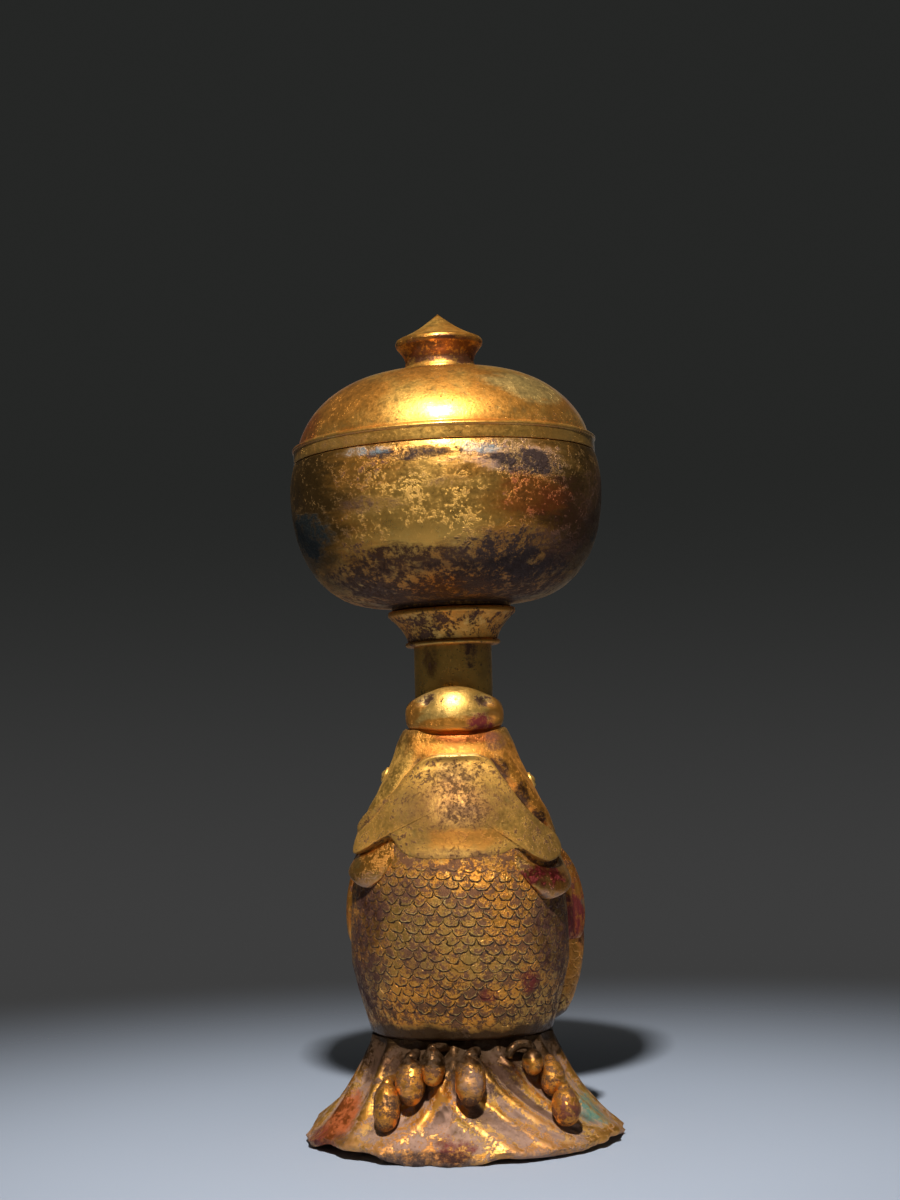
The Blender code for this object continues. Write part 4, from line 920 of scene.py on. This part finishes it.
def build_eye(side, sign, material):
    """A small turned profile set square to the head: its axis is the cross product of two steps on the surface."""
    angle = sign * EYE_ANGLE
    z = EYE_HEIGHT - HEAD_SKEW * through(BELLY, EYE_HEIGHT) * np.sin(np.radians(angle))
    centre = on_fish(angle, z, 0.0)
    across = on_fish(angle + 1.0, z, 0.0) - centre
    up = on_fish(angle, z + 0.0005, 0.0) - centre
    axis = np.cross(across, up)
    axis /= np.linalg.norm(axis)
    across /= np.linalg.norm(across)
    up = np.cross(axis, across)
    radius, height = np.array(rounded(EYE_PROFILE, 0.0006, 0.00025)).T
    turn = np.linspace(0.0, 2 * np.pi, 48, endpoint=False)[None, :, None]
    ring = across * np.cos(turn) + up * np.sin(turn)
    points = centre + axis * height[:, None, None] + ring * radius[:, None, None]
    made = casting(f"domed_eye_{side}", points, material, "stand")
    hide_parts(f"eye_{side}")


# %% Fins
FIN_ANGLE = 106.0
FIN_TOP = 0.0985
FIN_LENGTH = 0.0330
FIN_RAYS = 7
COMB_BOTTOM = 0.0440
COMB_TOP = 0.1120
COMB_RISE = 0.0060
COMB_NOTCHES = 11


def build_pectoral_fin(side, sign, material):
    """A leaf folded on the flank: its thickness falls to the edges and ripples once for each ray."""
    t = np.linspace(0.0, 1.0, 90)[:, None]
    s = np.sin(np.linspace(-np.pi / 2, np.pi / 2, 72))[None, :]
    spread = 9.0 * (0.20 + 0.80 * np.sin(np.pi * (0.08 + 0.84 * t)) ** 0.8)
    angle = sign * (FIN_ANGLE + spread * s)
    z = FIN_TOP - FIN_LENGTH * t
    rays = 1.0 - 0.10 * (0.5 - 0.5 * np.cos(s * np.pi * FIN_RAYS))
    edge = np.sqrt(np.clip(1.0 - np.abs(s) ** 3, 0.0, 1.0))
    full = 0.0034 * (0.45 + 0.55 * np.sin(np.pi * (0.15 + 0.7 * t))) * np.clip(1 - (2 * t - 1) ** 8, 0, 1) ** 0.5
    top = on_fish(angle, z, full * edge * rays)
    made = plate(f"folded_fin_{side}", top, on_fish(angle, z, -0.0003), material, "stand")
    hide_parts(f"pectoral_fin_{side}")


def build_spine_fin(material):
    """A comb with a notch between rays: the two faces taper to the edge and close at both ends."""
    centre = 180.0 - np.degrees(np.arctan2(BACK_SHIFT[0], BACK_SHIFT[1] + BACK_DEPTH))
    z = np.linspace(COMB_BOTTOM, COMB_TOP, 260)[:, None]
    share = (z - COMB_BOTTOM) / (COMB_TOP - COMB_BOTTOM)
    notch = 1.0 - 0.17 * (0.5 + 0.5 * np.cos(share * 2 * np.pi * COMB_NOTCHES))
    rise = COMB_RISE * np.sin(np.pi * (0.10 + 0.80 * share)) ** 0.6 * notch
    turn = np.linspace(0.0, np.pi, 25)[None, :]
    height = rise * np.sin(turn) ** 0.8
    wide = 0.0015 * np.cos(turn) * (1.0 - 0.75 * np.sin(turn) ** 2) * (0.9 + 0.1 * notch)
    base = trunk_radius(centre, z) - 0.0003
    points = polar(base + height, centre, z) + polar(1.0, centre + 90.0, 0.0) * wide[..., None]
    ends = points.mean(axis=1, keepdims=True) + 0.0 * points
    made = casting("spine_comb", np.concatenate([ends[:1], points, ends[-1:]]), material, "stand")
    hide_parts("dorsal_fin")


# %% [markdown]
# ## Stem, collar, bowl and lid
# These are turned pieces. The tube stands on a ledge in the throat. The collar has a socket below for the tube, a cup
# above for the bowl, and a pierced web between. The bowl is a thin shell on a low foot ring. The lid's flange drops
# inside the bowl's mouth, and the knob's shank passes through the lid and is hammered over a washer.

# %% Sizes of the bowl group, with heights above the tube's end
WEB_BOTTOM = 0.0006
COLLAR_TOP = 0.0045
SOCKET_RADIUS = 0.0142
COLLAR_NECK = 0.0158
COLLAR_RIM = 0.0225
WEB_HOLE = 0.0090
LID_HOLE = 0.0033
SHANK_RADIUS = 0.0030
BOWL_BOTTOM = 0.0048
BOWL_RIM = 0.0578
LID_BOTTOM = 0.0581
LID_TOP = 0.0891
BOWL_RADIUS = 0.0553
MOUTH_RADIUS = 0.0536
BELLY_HEIGHT = 0.0470
BOWL_WALL = 0.0022
FOOT_RING = 0.0212
LID_WALL = 0.0020
LID_BAND = 0.0629
DOME_RADIUS = 0.0516
CROWN_RADIUS = 0.0135
FLANGE_RADIUS = 0.0509
BAND_RADIUS = 0.0533
KNOB_RADIUS = 0.0157
KNOB_NECK = 0.0122


def above(profile):
    """Heights above the tube's end, turned into heights above the ground."""
    return [(radius, TUBE_TOP + z) for radius, z in profile]


# %% Tube and collar
def build_tube(material):
    low, inside = THROAT_LEDGE_Z + 0.0003, TUBE_RADIUS - 0.0022
    profile = [(inside, low), (TUBE_RADIUS, low), (TUBE_RADIUS, TUBE_TOP), (inside, TUBE_TOP), (inside, low)]
    made = turned("stem", profile, material, "stand", columns=192, seed=21)
    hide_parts("stem_tube")


def build_collar(material):
    """The outside flares as 0.35 t + 0.65 t^2 from the beaded neck to the rim."""
    low = WEB_BOTTOM - 0.0090
    t = np.linspace(0.0, 1.0, 14)
    flare_r = COLLAR_NECK + (COLLAR_RIM - COLLAR_NECK) * (0.35 * t + 0.65 * t**2)
    flare_z = low + 0.0020 + (COLLAR_TOP - 0.0017 - low - 0.0020) * t
    turn = np.radians(np.linspace(-70.0, 100.0, 9))
    bead = [(COLLAR_NECK + 0.0010 * np.cos(a), low + 0.0010 + 0.0009 * np.sin(a)) for a in turn]
    profile = [(SOCKET_RADIUS, low), (0.0156, low), *bead, *zip(flare_r, flare_z), (0.0226, COLLAR_TOP - 0.0008)]
    profile += [(0.0223, COLLAR_TOP), (0.0189, COLLAR_TOP), (0.0177, WEB_BOTTOM + 0.0016)]
    profile += [(WEB_HOLE, WEB_BOTTOM + 0.0016), (WEB_HOLE, WEB_BOTTOM), (SOCKET_RADIUS, WEB_BOTTOM)]
    profile.append(profile[0])
    made = turned("flared_collar", above(profile), material, "collar", seed=23)
    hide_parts("socket_collar")


# %% Bowl
def build_bowl(material):
    """Outside: radius grows with sin^0.8 and height with 1 - cos^0.92 of an angle that goes from 0 to 90 degrees,
    and above the belly the radius draws in with the square of the height."""
    a = np.radians(np.linspace(0.0, 90.0, 64))
    low = BOWL_BOTTOM + 0.0016
    out_r = FOOT_RING + (BOWL_RADIUS - FOOT_RING) * np.sin(a) ** 0.80
    out_z = low + (BELLY_HEIGHT - low) * (1 - np.clip(np.cos(a), 0, 1) ** 0.92)
    t = np.linspace(0.1, 1.0, 10)
    up_r = BOWL_RADIUS - (BOWL_RADIUS - MOUTH_RADIUS) * t**2
    up_z = BELLY_HEIGHT + (BOWL_RIM - BELLY_HEIGHT) * t
    outside = list(zip(np.concatenate([out_r, up_r]), np.concatenate([out_z, up_z])))
    floor_z = low + BOWL_WALL
    inside = [(r - BOWL_WALL, max(z, floor_z)) for r, z in outside[::-1] if r > FOOT_RING + 0.006]
    recess = BOWL_BOTTOM + 0.0008
    profile = [(0.0, BOWL_BOTTOM - 0.0034), (0.0086, BOWL_BOTTOM - 0.0034), (0.0086, recess), (0.0186, recess)]
    profile += [(0.0186, BOWL_BOTTOM), (FOOT_RING, BOWL_BOTTOM), *outside, *inside, (0.0, floor_z)]
    made = turned("round_bowl", above(profile), material, "bowl", 0.0005, 0.0012, 320, seed=25)
    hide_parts("bowl")


# %% Lid
def build_lid(material):
    """A plain band, a thin raised ring, a step in, and a dome whose radius follows cos^0.90 and whose height follows
    sin^1.25 up to a flat crown under the knob."""
    turn = np.radians(np.linspace(-60.0, 110.0, 9))
    ring = [(BAND_RADIUS + 0.0008 * np.cos(a), LID_BAND + 0.0007 * np.sin(a)) for a in turn]
    a = np.radians(np.linspace(4.0, 90.0, 56))
    dome_r = CROWN_RADIUS + (DOME_RADIUS - CROWN_RADIUS) * np.clip(np.cos(a), 0, 1) ** 0.90
    dome_z = LID_BAND + 0.0006 + (LID_TOP - LID_BAND - 0.0006) * np.sin(a) ** 1.25
    dome = list(zip(dome_r, dome_z))
    under = LID_TOP - LID_WALL
    hollow = [(r - LID_WALL * 0.8, min(z - LID_WALL * 0.6, under)) for r, z in dome[::-1]]
    flange_in = FLANGE_RADIUS - 0.0018
    profile = [(FLANGE_RADIUS, LID_BOTTOM - 0.0065), (FLANGE_RADIUS, LID_BOTTOM), (MOUTH_RADIUS, LID_BOTTOM)]
    profile += [(MOUTH_RADIUS, LID_BAND - 0.0008), *ring, *dome, (LID_HOLE, LID_TOP), (LID_HOLE, under)]
    profile += [*hollow[1:-1], (flange_in, LID_BOTTOM + 0.0030), (flange_in, LID_BOTTOM - 0.0065)]
    profile.append(profile[0])
    made = turned("domed_lid", above(profile), material, "lid", 0.0003, 0.0012, 320, seed=27)
    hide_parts("lid")


# %% Knob and washer
def build_knob(material):
    """A shallow cone on a waisted neck. The cone's side dips a little between its rim and its tip."""
    seat = LID_TOP + 0.0003
    head_top = LID_TOP - LID_WALL - 0.0012 - 0.0006
    rim = seat + 0.0115
    t = np.linspace(0.0, 1.0, 14)
    neck = [(KNOB_NECK + (0.0153 - KNOB_NECK) * (1 - k) ** 1.7, rim - 0.0020 - 0.0055 * k) for k in t]
    side = [(0.0150 * (1 - k), rim + 0.0006 + 0.0094 * k - 0.0009 * np.sin(np.pi * k)) for k in t[1:-1]]
    profile = [(0.0, seat + 0.0215), *side[::-1], (0.0152, rim + 0.0005), (KNOB_RADIUS, rim - 0.0007), *neck]
    profile += [(0.0124, seat + 0.0022), (0.0131, seat + 0.0010), (0.0131, seat), (SHANK_RADIUS, seat)]
    profile += [(SHANK_RADIUS, head_top), (0.0052, head_top), (0.0042, head_top - 0.0014), (0.0, head_top - 0.0018)]
    made = turned("pointed_knob", above(profile), material, "lid", 0.0004, 0.0008, 192, seed=29)
    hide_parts("lid_knob")


def build_washer(material):
    top = LID_TOP - LID_WALL - 0.0003
    bottom, edge = top - 0.0012, 0.0075
    profile = [(LID_HOLE, bottom), (edge, bottom), (edge, top), (LID_HOLE, top), (LID_HOLE, bottom)]
    made = turned("knob_plate", above(profile), material, "lid", 0.0003, 0.0008, 96, seed=31)
    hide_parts("knob_washer")


# %% [markdown]
# ## Finishes of each piece
# The lid is the best kept, warm and bright. The bowl is olive, with a corroded band round its lower third and dark
# crusts under the rim. The fish is speckled where its scales are chased, and the foot mixes bright ridges with pink
# and brown hollows and a few green and crimson spots. Places of stains are in millimetres, on the surface they stain.
# Some patches are painted shade, not age: dark under the fish's belly and over the foot's top, on the drops' lower
# ends, in part on the fish's flanks, on the bowl's sides, the chin plate's middle and the knob's neck. Painted
# highlights brighten the bowl's front and the chin plate's top edge.

# %% Materials
lid_gilt = gilding(
    "lid_gilding", BRIGHT_GOLD, ORANGE_GOLD, BROWN, cover=0.14, specks=0.58, rough=0.46, grainy=0.7, polish=0.80,
    stains_and_painted_light=(
        (BROWN, (-35, -38, 238.5), (16, 16, 2), 0.7, 0.3),
        (ORANGE_GOLD, (-40, -22, 256), (20, 26, 14), 0.9, 0.0),
        (PALE_GOLD, (30, -30, 257), (18, 20, 7), 0.8, 0.0),
        (RED_GOLD, (-50, -10, 246), (10, 20, 8), 0.7, 0.0),
    ),
)
knob_gilt = gilding(
    "knob_gilding", ORANGE_GOLD, BRIGHT_GOLD, BROWN, cover=0.22, specks=0.62, rough=0.46,
    stains_and_painted_light=(
        # painted shade: russet and brown round the top of the knob's neck, under the cone's rim
        (RUSSET, (0, -13, 274.5), (20, 18, 5), 1.8, 0.0),
        (BROWN, (-8, -12, 276), (8, 10, 2.2), 0.9, 0.1),
    ),
)
bowl_gilt = gilding(
    "bowl_gilding", OLIVE_GOLD, ORANGE_GOLD, PURPLE_BROWN, cover=0.40, specks=0.72, rough=0.42, grainy=0.7,
    streak=(1.0, 1.0, 4.5),
    stains_and_painted_light=(
        # painted highlight: brighter gold over the middle of the bowl's front
        (BRIGHT_GOLD, (-10, -54, 212), (28, 20, 19), 0.70, 0.0),
        # painted shade: the next two darken the bowl's left and right sides
        (SIDE_SHADE_OLIVE, (-52, -22, 218), (26, 34, 32), 1.00, None),
        (SIDE_SHADE_OLIVE, (54, -20, 216), (32, 38, 34), 1.00, None),
        # brown over the bowl's underside, darkest low down
        (BROWN, (4, -36, 189), (56, 44, 12), 1.4, 0.0),
        (BROWN_CRUST, (28, -40, 198.5), (37, 32, 10), 1.3, 0.5),
        (BROWN, (-14, -42, 197.5), (26, 30, 6), 1.2, 0.0),
        (RUSSET, (40, -34, 211), (17, 24, 15), 1.20, 0.0),
        (PURPLE_BROWN, (0, 34, 197), (60, 36, 12), 0.9, 0.4),
        (RED_GOLD, (28, -44, 218), (14, 22, 8), 0.60, 0.0),
        (BROWN, (-26, -47, 216), (13, 14, 3.2), 0.9, 0.3),
        (BROWN, (0, -54, 222), (9, 10, 2.2), 0.7, 0.2),
        (BLACK_CRUST, (-50, -22, 208), (13, 20, 9), 1.6, 0.7),
        (PINK_GREY, (26, -48, 230.5), (28, 14, 6), 0.8, 0.3),
        (BROWN_CRUST, (28, -46, 229), (17, 12, 5.2), 1.5, 1.3),
        (BROWN_CRUST, (-14, -53, 232.2), (16, 10, 2.6), 1.0, 1.1),
        (PALE_BLUE, (11, -53, 233.5), (7, 8, 2.4), 0.8, 0.4),
        (PALE_BLUE, (-28, -46, 234), (11, 10, 1.8), 0.7, 0.3),
        (BROWN, (52, -16, 217), (12, 20, 18), 0.9, 0.4),
        (BLACK_CRUST, (53.5, -14, 205), (5, 10, 5), 0.9, 0.4),
        (BLACK_CRUST, (-10, 52, 226), (18, 12, 6), 0.9, 0.8),
    ),
)
collar_bronze = gilding(
    "collar_bronze", ORANGE_GOLD, OLIVE_GOLD, PURPLE_BROWN, cover=0.46, specks=0.6, rough=0.45, patch_size=0.010
)
stem_gilt = gilding(
    "stem_gilding", OLIVE_GOLD, BRIGHT_GOLD, BROWN, cover=0.30, specks=0.60, rough=0.42,
    stains_and_painted_light=(
        (BROWN, (6, -13, 170), (2.6, 6, 9), 1.2, 0.1),
        (RUSSET, (-8, -11, 166), (3, 6, 8), 0.8, 0.0),
    ),
)
lip_gilt = gilding(
    "lip_gilding", BRIGHT_GOLD, PALE_GOLD, BROWN, cover=0.24, specks=0.56, rough=0.54, grainy=0.8,
    stains_and_painted_light=(
        (ORANGE_GOLD, (-16, -12, 147), (6, 10, 7), 0.9, 0.0),
        (ORANGE_GOLD, (16, -12, 147), (6, 10, 8), 0.9, 0.0),
        (ORANGE_GOLD, (0, -20, 142), (20, 10, 3), 1.3, 0.0),
        (CRIMSON, (10, -20, 142.5), (8, 8, 4.2), 1.2, 0.2),
        (BROWN, (11.8, -18, 150.8), (6.2, 8, 3.2), 1.5, 0.1),
        (BROWN, (-10.5, -18.5, 152.2), (4.4, 8, 3), 1.5, 0.1),
    ),
)
fish_gilt = gilding(
    "fish_gilding", OLIVE_GOLD, ORANGE_GOLD, RUSSET, cover=0.50, patch_size=0.0050, specks=0.70, rough=0.52,
    relief=scales, streak=(1.0, 1.0, 1.0), calm=0.1060,
    stains_and_painted_light=(
        (ORANGE_GOLD, (44, 22, 80), (15, 34, 40), 1.0, 0.0),
        (CRIMSON, (46, 22, 74), (8, 20, 14), 0.9, 0.2),
        (VERDIGRIS, (45, 18, 79), (4, 8, 3), 0.9, 0.3),
        # partly purple-brown oxide, partly painted shade: the next three darken the fish's left and right flanks
        (PURPLE_BROWN, (33, -15, 74), (12, 22, 26), 1.10, 0.0),
        (PURPLE_BROWN, (-31, -18, 78), (9, 18, 16), 1.10, 0.0),
        (PURPLE_BROWN, (-34, -12, 55), (10, 20, 16), 1.00, 0.0),
        (PURPLE_BROWN, (-12, -35, 64), (7, 14, 6), 0.70, 0.2),
        (PURPLE_BROWN, (-19, -32, 86), (6, 14, 5), 0.70, 0.2),
        # painted shadow: dark brown all round the fish's lowest edge, above the foot
        (SHADE_UNDER_BELLY, (0, 0, 35), (80, 80, 7), 1.4, None),
        (CRIMSON, (23, -30, 56), (4, 10, 4), 0.9, 0.1),
        (CRIMSON, (9, -37, 52), (3.6, 10, 2.4), 0.8, 0.1),
        (ORANGE_GOLD, (0, -20, 137), (22, 16, 6), 0.9, 0.0),
        (RED_GOLD, (4, -20, 138.5), (14, 10, 3), 0.8, 0.0),
        (PURPLE_BROWN, (15, -18, 137), (6, 10, 4), 0.8, 0.2),
        (ORANGE_GOLD, (25, -12, 118), (11, 14, 23), 1.6, 0.0),
        (BRIGHT_GOLD, (-24, -12, 119), (12, 16, 22), 1.8, 0.0),
        # darker brown along the groove beside the chin plate's right edge
        (BROWN, (15.2, -20, 126.5), (3.4, 6, 5), 1.3, 0.0),
        (BROWN, (22.5, -18.5, 117), (3.4, 6, 5.6), 1.3, 0.0),
        (BROWN, (28, -14, 109), (3.4, 6, 4.6), 1.3, 0.0),
    ),
)
plate_gilt = gilding(
    "plate_gilding", OLIVE_GOLD, BRIGHT_GOLD, RUSSET, cover=0.34, patch_size=0.0026, specks=0.90, rough=0.60,
    streak=(1.0, 1.0, 1.0),
    stains_and_painted_light=(
        # painted shade: the next two dull and darken the plate's middle, against the key light's bright patch there
        (DULL_GOLD, (1, -33, 115), (20, 16, 17), 0.90, None),
        (RUSSET, (1, -33, 114), (17, 14, 13), 0.70, 0.0),
        (BROWN, (1, -34, 112), (8, 10, 5), 0.50, 0.1),
        (BROWN, (2, -30, 126.5), (14, 12, 4), 0.55, 0.1),
        (PURPLE_BROWN, (0, -35, 98.5), (22, 12, 2.2), 0.70, 0.1),
        (ORANGE_GOLD, (4, -35, 104), (16, 12, 4), 0.60, 0.0),
        (BROWN, (-18, -26, 115), (5, 10, 6), 0.50, 0.1),
        # painted highlight: pale gold along the plate's rolled top edge
        (PALE_GOLD, (0, -24, 132.6), (12, 8, 1.4), 1.00, 0.0),
    ),
)
cover_gilt = gilding(
    "cover_gilding", ORANGE_GOLD, OLIVE_GOLD, RUSSET, cover=0.40, patch_size=0.010, specks=0.5, rough=0.38,
    stains_and_painted_light=(
        (CRIMSON, (29, -23, 90), (11, 14, 5.6), 1.10, 0.0),
        (PINK_GREY, (30, -23, 83.5), (6, 12, 3), 0.8, 0.1),
        (PINK_GREY, (-30, -22, 89), (6, 12, 4), 0.7, 0.1),
        (ORANGE_GOLD, (-28, -23, 98), (11, 14, 6), 0.8, 0.0),
    ),
)
fin_gilt = gilding(
    "fin_gilding", ORANGE_GOLD, RED_GOLD, PURPLE_BROWN, cover=0.42, patch_size=0.006, specks=0.6, rough=0.42,
    stains_and_painted_light=(
        (CRIMSON, (45, 15, 72), (14, 40, 13), 1.2, 0.1),
        (VERDIGRIS, (46.5, 15, 78), (3.4, 20, 2.4), 0.8, 0.3),
    ),
)
crest_gilt = gilding(
    "crest_gilding", ORANGE_GOLD, DULL_GOLD, RUSSET, cover=0.56, patch_size=0.004, specks=0.76, rough=0.47,
    stains_and_painted_light=(
        (PINK_GREY, (-22, -46, 22), (6, 6, 6), 0.5, 0.1),
        (PINK_GREY, (3, -50, 26), (6, 6, 5), 0.6, 0.1),
        # painted shade: brown over the lower end of the first drop
        (BROWN, (-26, -40, 11), (8, 12, 4), 0.9, 0.2),
        (CRIMSON, (34, -38, 15), (5, 10, 4), 0.6, 0.1),
        # painted shadow: dark brown over the stems, under the fish's belly
        (SHADE_UNDER_BELLY, (0, -34, 37), (70, 30, 8.5), 1.6, None),
        # painted shade: brown over the lower ends of the fourth and second drops
        (BROWN, (3, -46, 19), (6, 10, 3.4), 1.0, 0.1),
        (BROWN, (-22, -44, 18.5), (6, 10, 3), 1.0, 0.1),
    ),
)
foot_gilt = gilding(
    "foot_gilding", ORANGE_GOLD, BRIGHT_GOLD, PINK_GREY, cover=0.50, patch_size=0.004, specks=0.62, rough=0.54,
    streak=(1.0, 1.0, 1.0),
    stains_and_painted_light=(
        (PINK_GREY, (0, 0, 0), (90, 90, 5), 1.10, 0.9),
        (PINK_GREY, (22, -44, 8), (36, 22, 9), 0.50, 0.1),
        (PINK_GREY, (-30, -40, 6), (20, 16, 6), 0.40, 0.1),
        # painted shadow: the next four darken the top of the foot under the fish's belly
        (BROWN, (0, -20, 32), (50, 34, 12), 1.4, 0.0),
        (SHADE_UNDER_BELLY, (0, 0, 37), (90, 90, 12), 1.6, None),
        (BROWN, (13, -36, 26), (11, 14, 9), 1.0, 0.0),
        (BROWN, (-30, -22, 28), (12, 14, 9), 0.9, 0.0),
        (CRIMSON, (-4, -54, 5), (7, 10, 4.5), 0.95, 0.6),
        (BROWN_CRUST, (-12, -54, 2), (20, 10, 3), 0.9, 0.9),
        (RED_GOLD, (-43, -22, 11), (10, 14, 11), 0.95, 0.0),
        (CRIMSON, (-50, -20, 4.5), (7, 12, 4), 0.9, 0.4),
        (VERDIGRIS, (45, -18, 12), (9, 14, 7), 0.95, 0.4),
        (VERDIGRIS, (-14, -52, 10), (4, 8, 3), 0.8, 0.3),
        (BLACK_CRUST, (-40, -30, 5), (5, 8, 3), 0.8, 0.5),
    ),
)
washer_bronze = gilding("washer_bronze", ORANGE_GOLD, BROWN, PURPLE_BROWN, cover=0.60, specks=0.5, rough=0.45)

# %% Build every piece
build_foot(foot_gilt)
build_crests(crest_gilt)
build_fish(fish_gilt)
build_chin_plate(plate_gilt)
build_gill_cover("left", cover_gilt)
build_gill_cover("right", cover_gilt)
build_lip(lip_gilt)
for side, sign in (("left", -1), ("right", 1)):
    build_eye(side, sign, lip_gilt)
    build_pectoral_fin(side, sign, fin_gilt)
build_spine_fin(fin_gilt)
build_tube(stem_gilt)
build_collar(collar_bronze)
build_bowl(bowl_gilt)
build_lid(lid_gilt)
build_knob(knob_gilt)
build_washer(washer_bronze)

# %% [markdown]
# ## Floor, light and camera
# The picture shows the object on a pale table that ends softly in the dark behind it. One large light high in front
# gives the bright line across the lid and the soft-edged shadow of the bowl behind the foot. Two weak lights keep the
# sides and the back readable.


# %% Floor
FLOOR_RADIUS = 0.9
FLOOR_SIDES = 96
TABLE_COLOUR = (0.41, 0.47, 0.575, 1.0)


def build_floor():
    """A flat disc whose opacity eases to nothing towards its edge, so the dark room shows behind it."""
    made = bpy.data.materials.new("pale_table")
    made.use_nodes = True
    tree = made.node_tree
    shader = tree.nodes["Principled BSDF"]
    shader.inputs["Base Color"].default_value = TABLE_COLOUR
    shader.inputs["Roughness"].default_value = 0.80
    shader.inputs["Specular IOR Level"].default_value = 0.25
    place = node(tree, "ShaderNodeTexCoord", {}, {}, out=3)
    distance = node(tree, "ShaderNodeVectorMath", {"operation": "LENGTH"}, {0: place}, out=1)
    tree.links.new(distance.step(0.52, 0.10).socket, shader.inputs["Alpha"])
    mesh = bpy.data.meshes.new("table_top")
    ring = np.linspace(0.0, 2 * np.pi, FLOOR_SIDES, endpoint=False)
    rim = FLOOR_RADIUS * np.stack([np.cos(ring), np.sin(ring), 0.0 * ring], axis=-1)
    mesh.from_pydata(rim.tolist(), [], [list(range(FLOOR_SIDES))])
    mesh.materials.append(made)
    floor = add_object("table_top", mesh)


build_floor()


# %% Lights: place and size in metres, power in watts, colour. A light shines along its -Z axis, towards AIM
AIM = Vector((0.0, 0.0, 0.14))
LIGHTS = {
    "key": ((-0.03, -0.520, 0.80), 0.04, 10.5, (1.0, 0.97, 0.93)),
    "left_fill": ((-1.20, -0.20, 0.45), 0.90, 0.08, (0.92, 0.96, 1.0)),
    "right_fill": ((1.20, 0.10, 0.45), 0.90, 0.08, (0.92, 0.96, 1.0)),
    "back_fill": ((0.10, 1.30, 0.30), 0.90, 0.25, (1.0, 0.98, 0.95)),
}
for name, (place, size, power, colour) in LIGHTS.items():
    data = bpy.data.lights.new(name, "AREA")
    data.size = size
    data.energy = power
    data.color = colour
    made = add_object(name, data)
    made.location = place
    made.rotation_euler = (AIM - Vector(place)).to_track_quat("-Z", "Y").to_euler()
print("lights:", ", ".join(LIGHTS))

# %% The dark room: a little lighter towards the floor
ROOM_ABOVE = (0.0190, 0.0200, 0.0190)
ROOM_BELOW = (0.0470, 0.0470, 0.0470)
world = bpy.data.worlds.new("dark_room")
bpy.context.scene.world = world
world.use_nodes = True
direction = node(world.node_tree, "ShaderNodeTexCoord", {}, {}, out=0)
rise = node(world.node_tree, "ShaderNodeSeparateXYZ", {}, {0: direction}, out=2)
wall = mix(rise.step(0.14, -0.10), ROOM_ABOVE, ROOM_BELOW)
world.node_tree.links.new(wall.socket, world.node_tree.nodes["Background"].inputs["Color"])
bpy.context.scene.view_settings.view_transform = "Standard"
print("room nodes:", len(world.node_tree.nodes))

# %% Camera
CAMERA_PLACE = (-0.0005, -0.720, 0.134)
PITCH_DEG = 4.2
ROLL_DEG = -1.5
camera_data = bpy.data.cameras.new("camera")
camera_data.lens = 61.0
camera_data.sensor_width = 36.0
camera = add_object("camera", camera_data)
turn_up = Matrix.Rotation(np.pi / 2 + np.radians(PITCH_DEG), 4, "X")
turn_round = Matrix.Rotation(np.radians(ROLL_DEG), 4, "Z")
camera.matrix_world = Matrix.Translation(CAMERA_PLACE) @ turn_up @ turn_round
bpy.context.scene.camera = camera
print("camera at", CAMERA_PLACE)
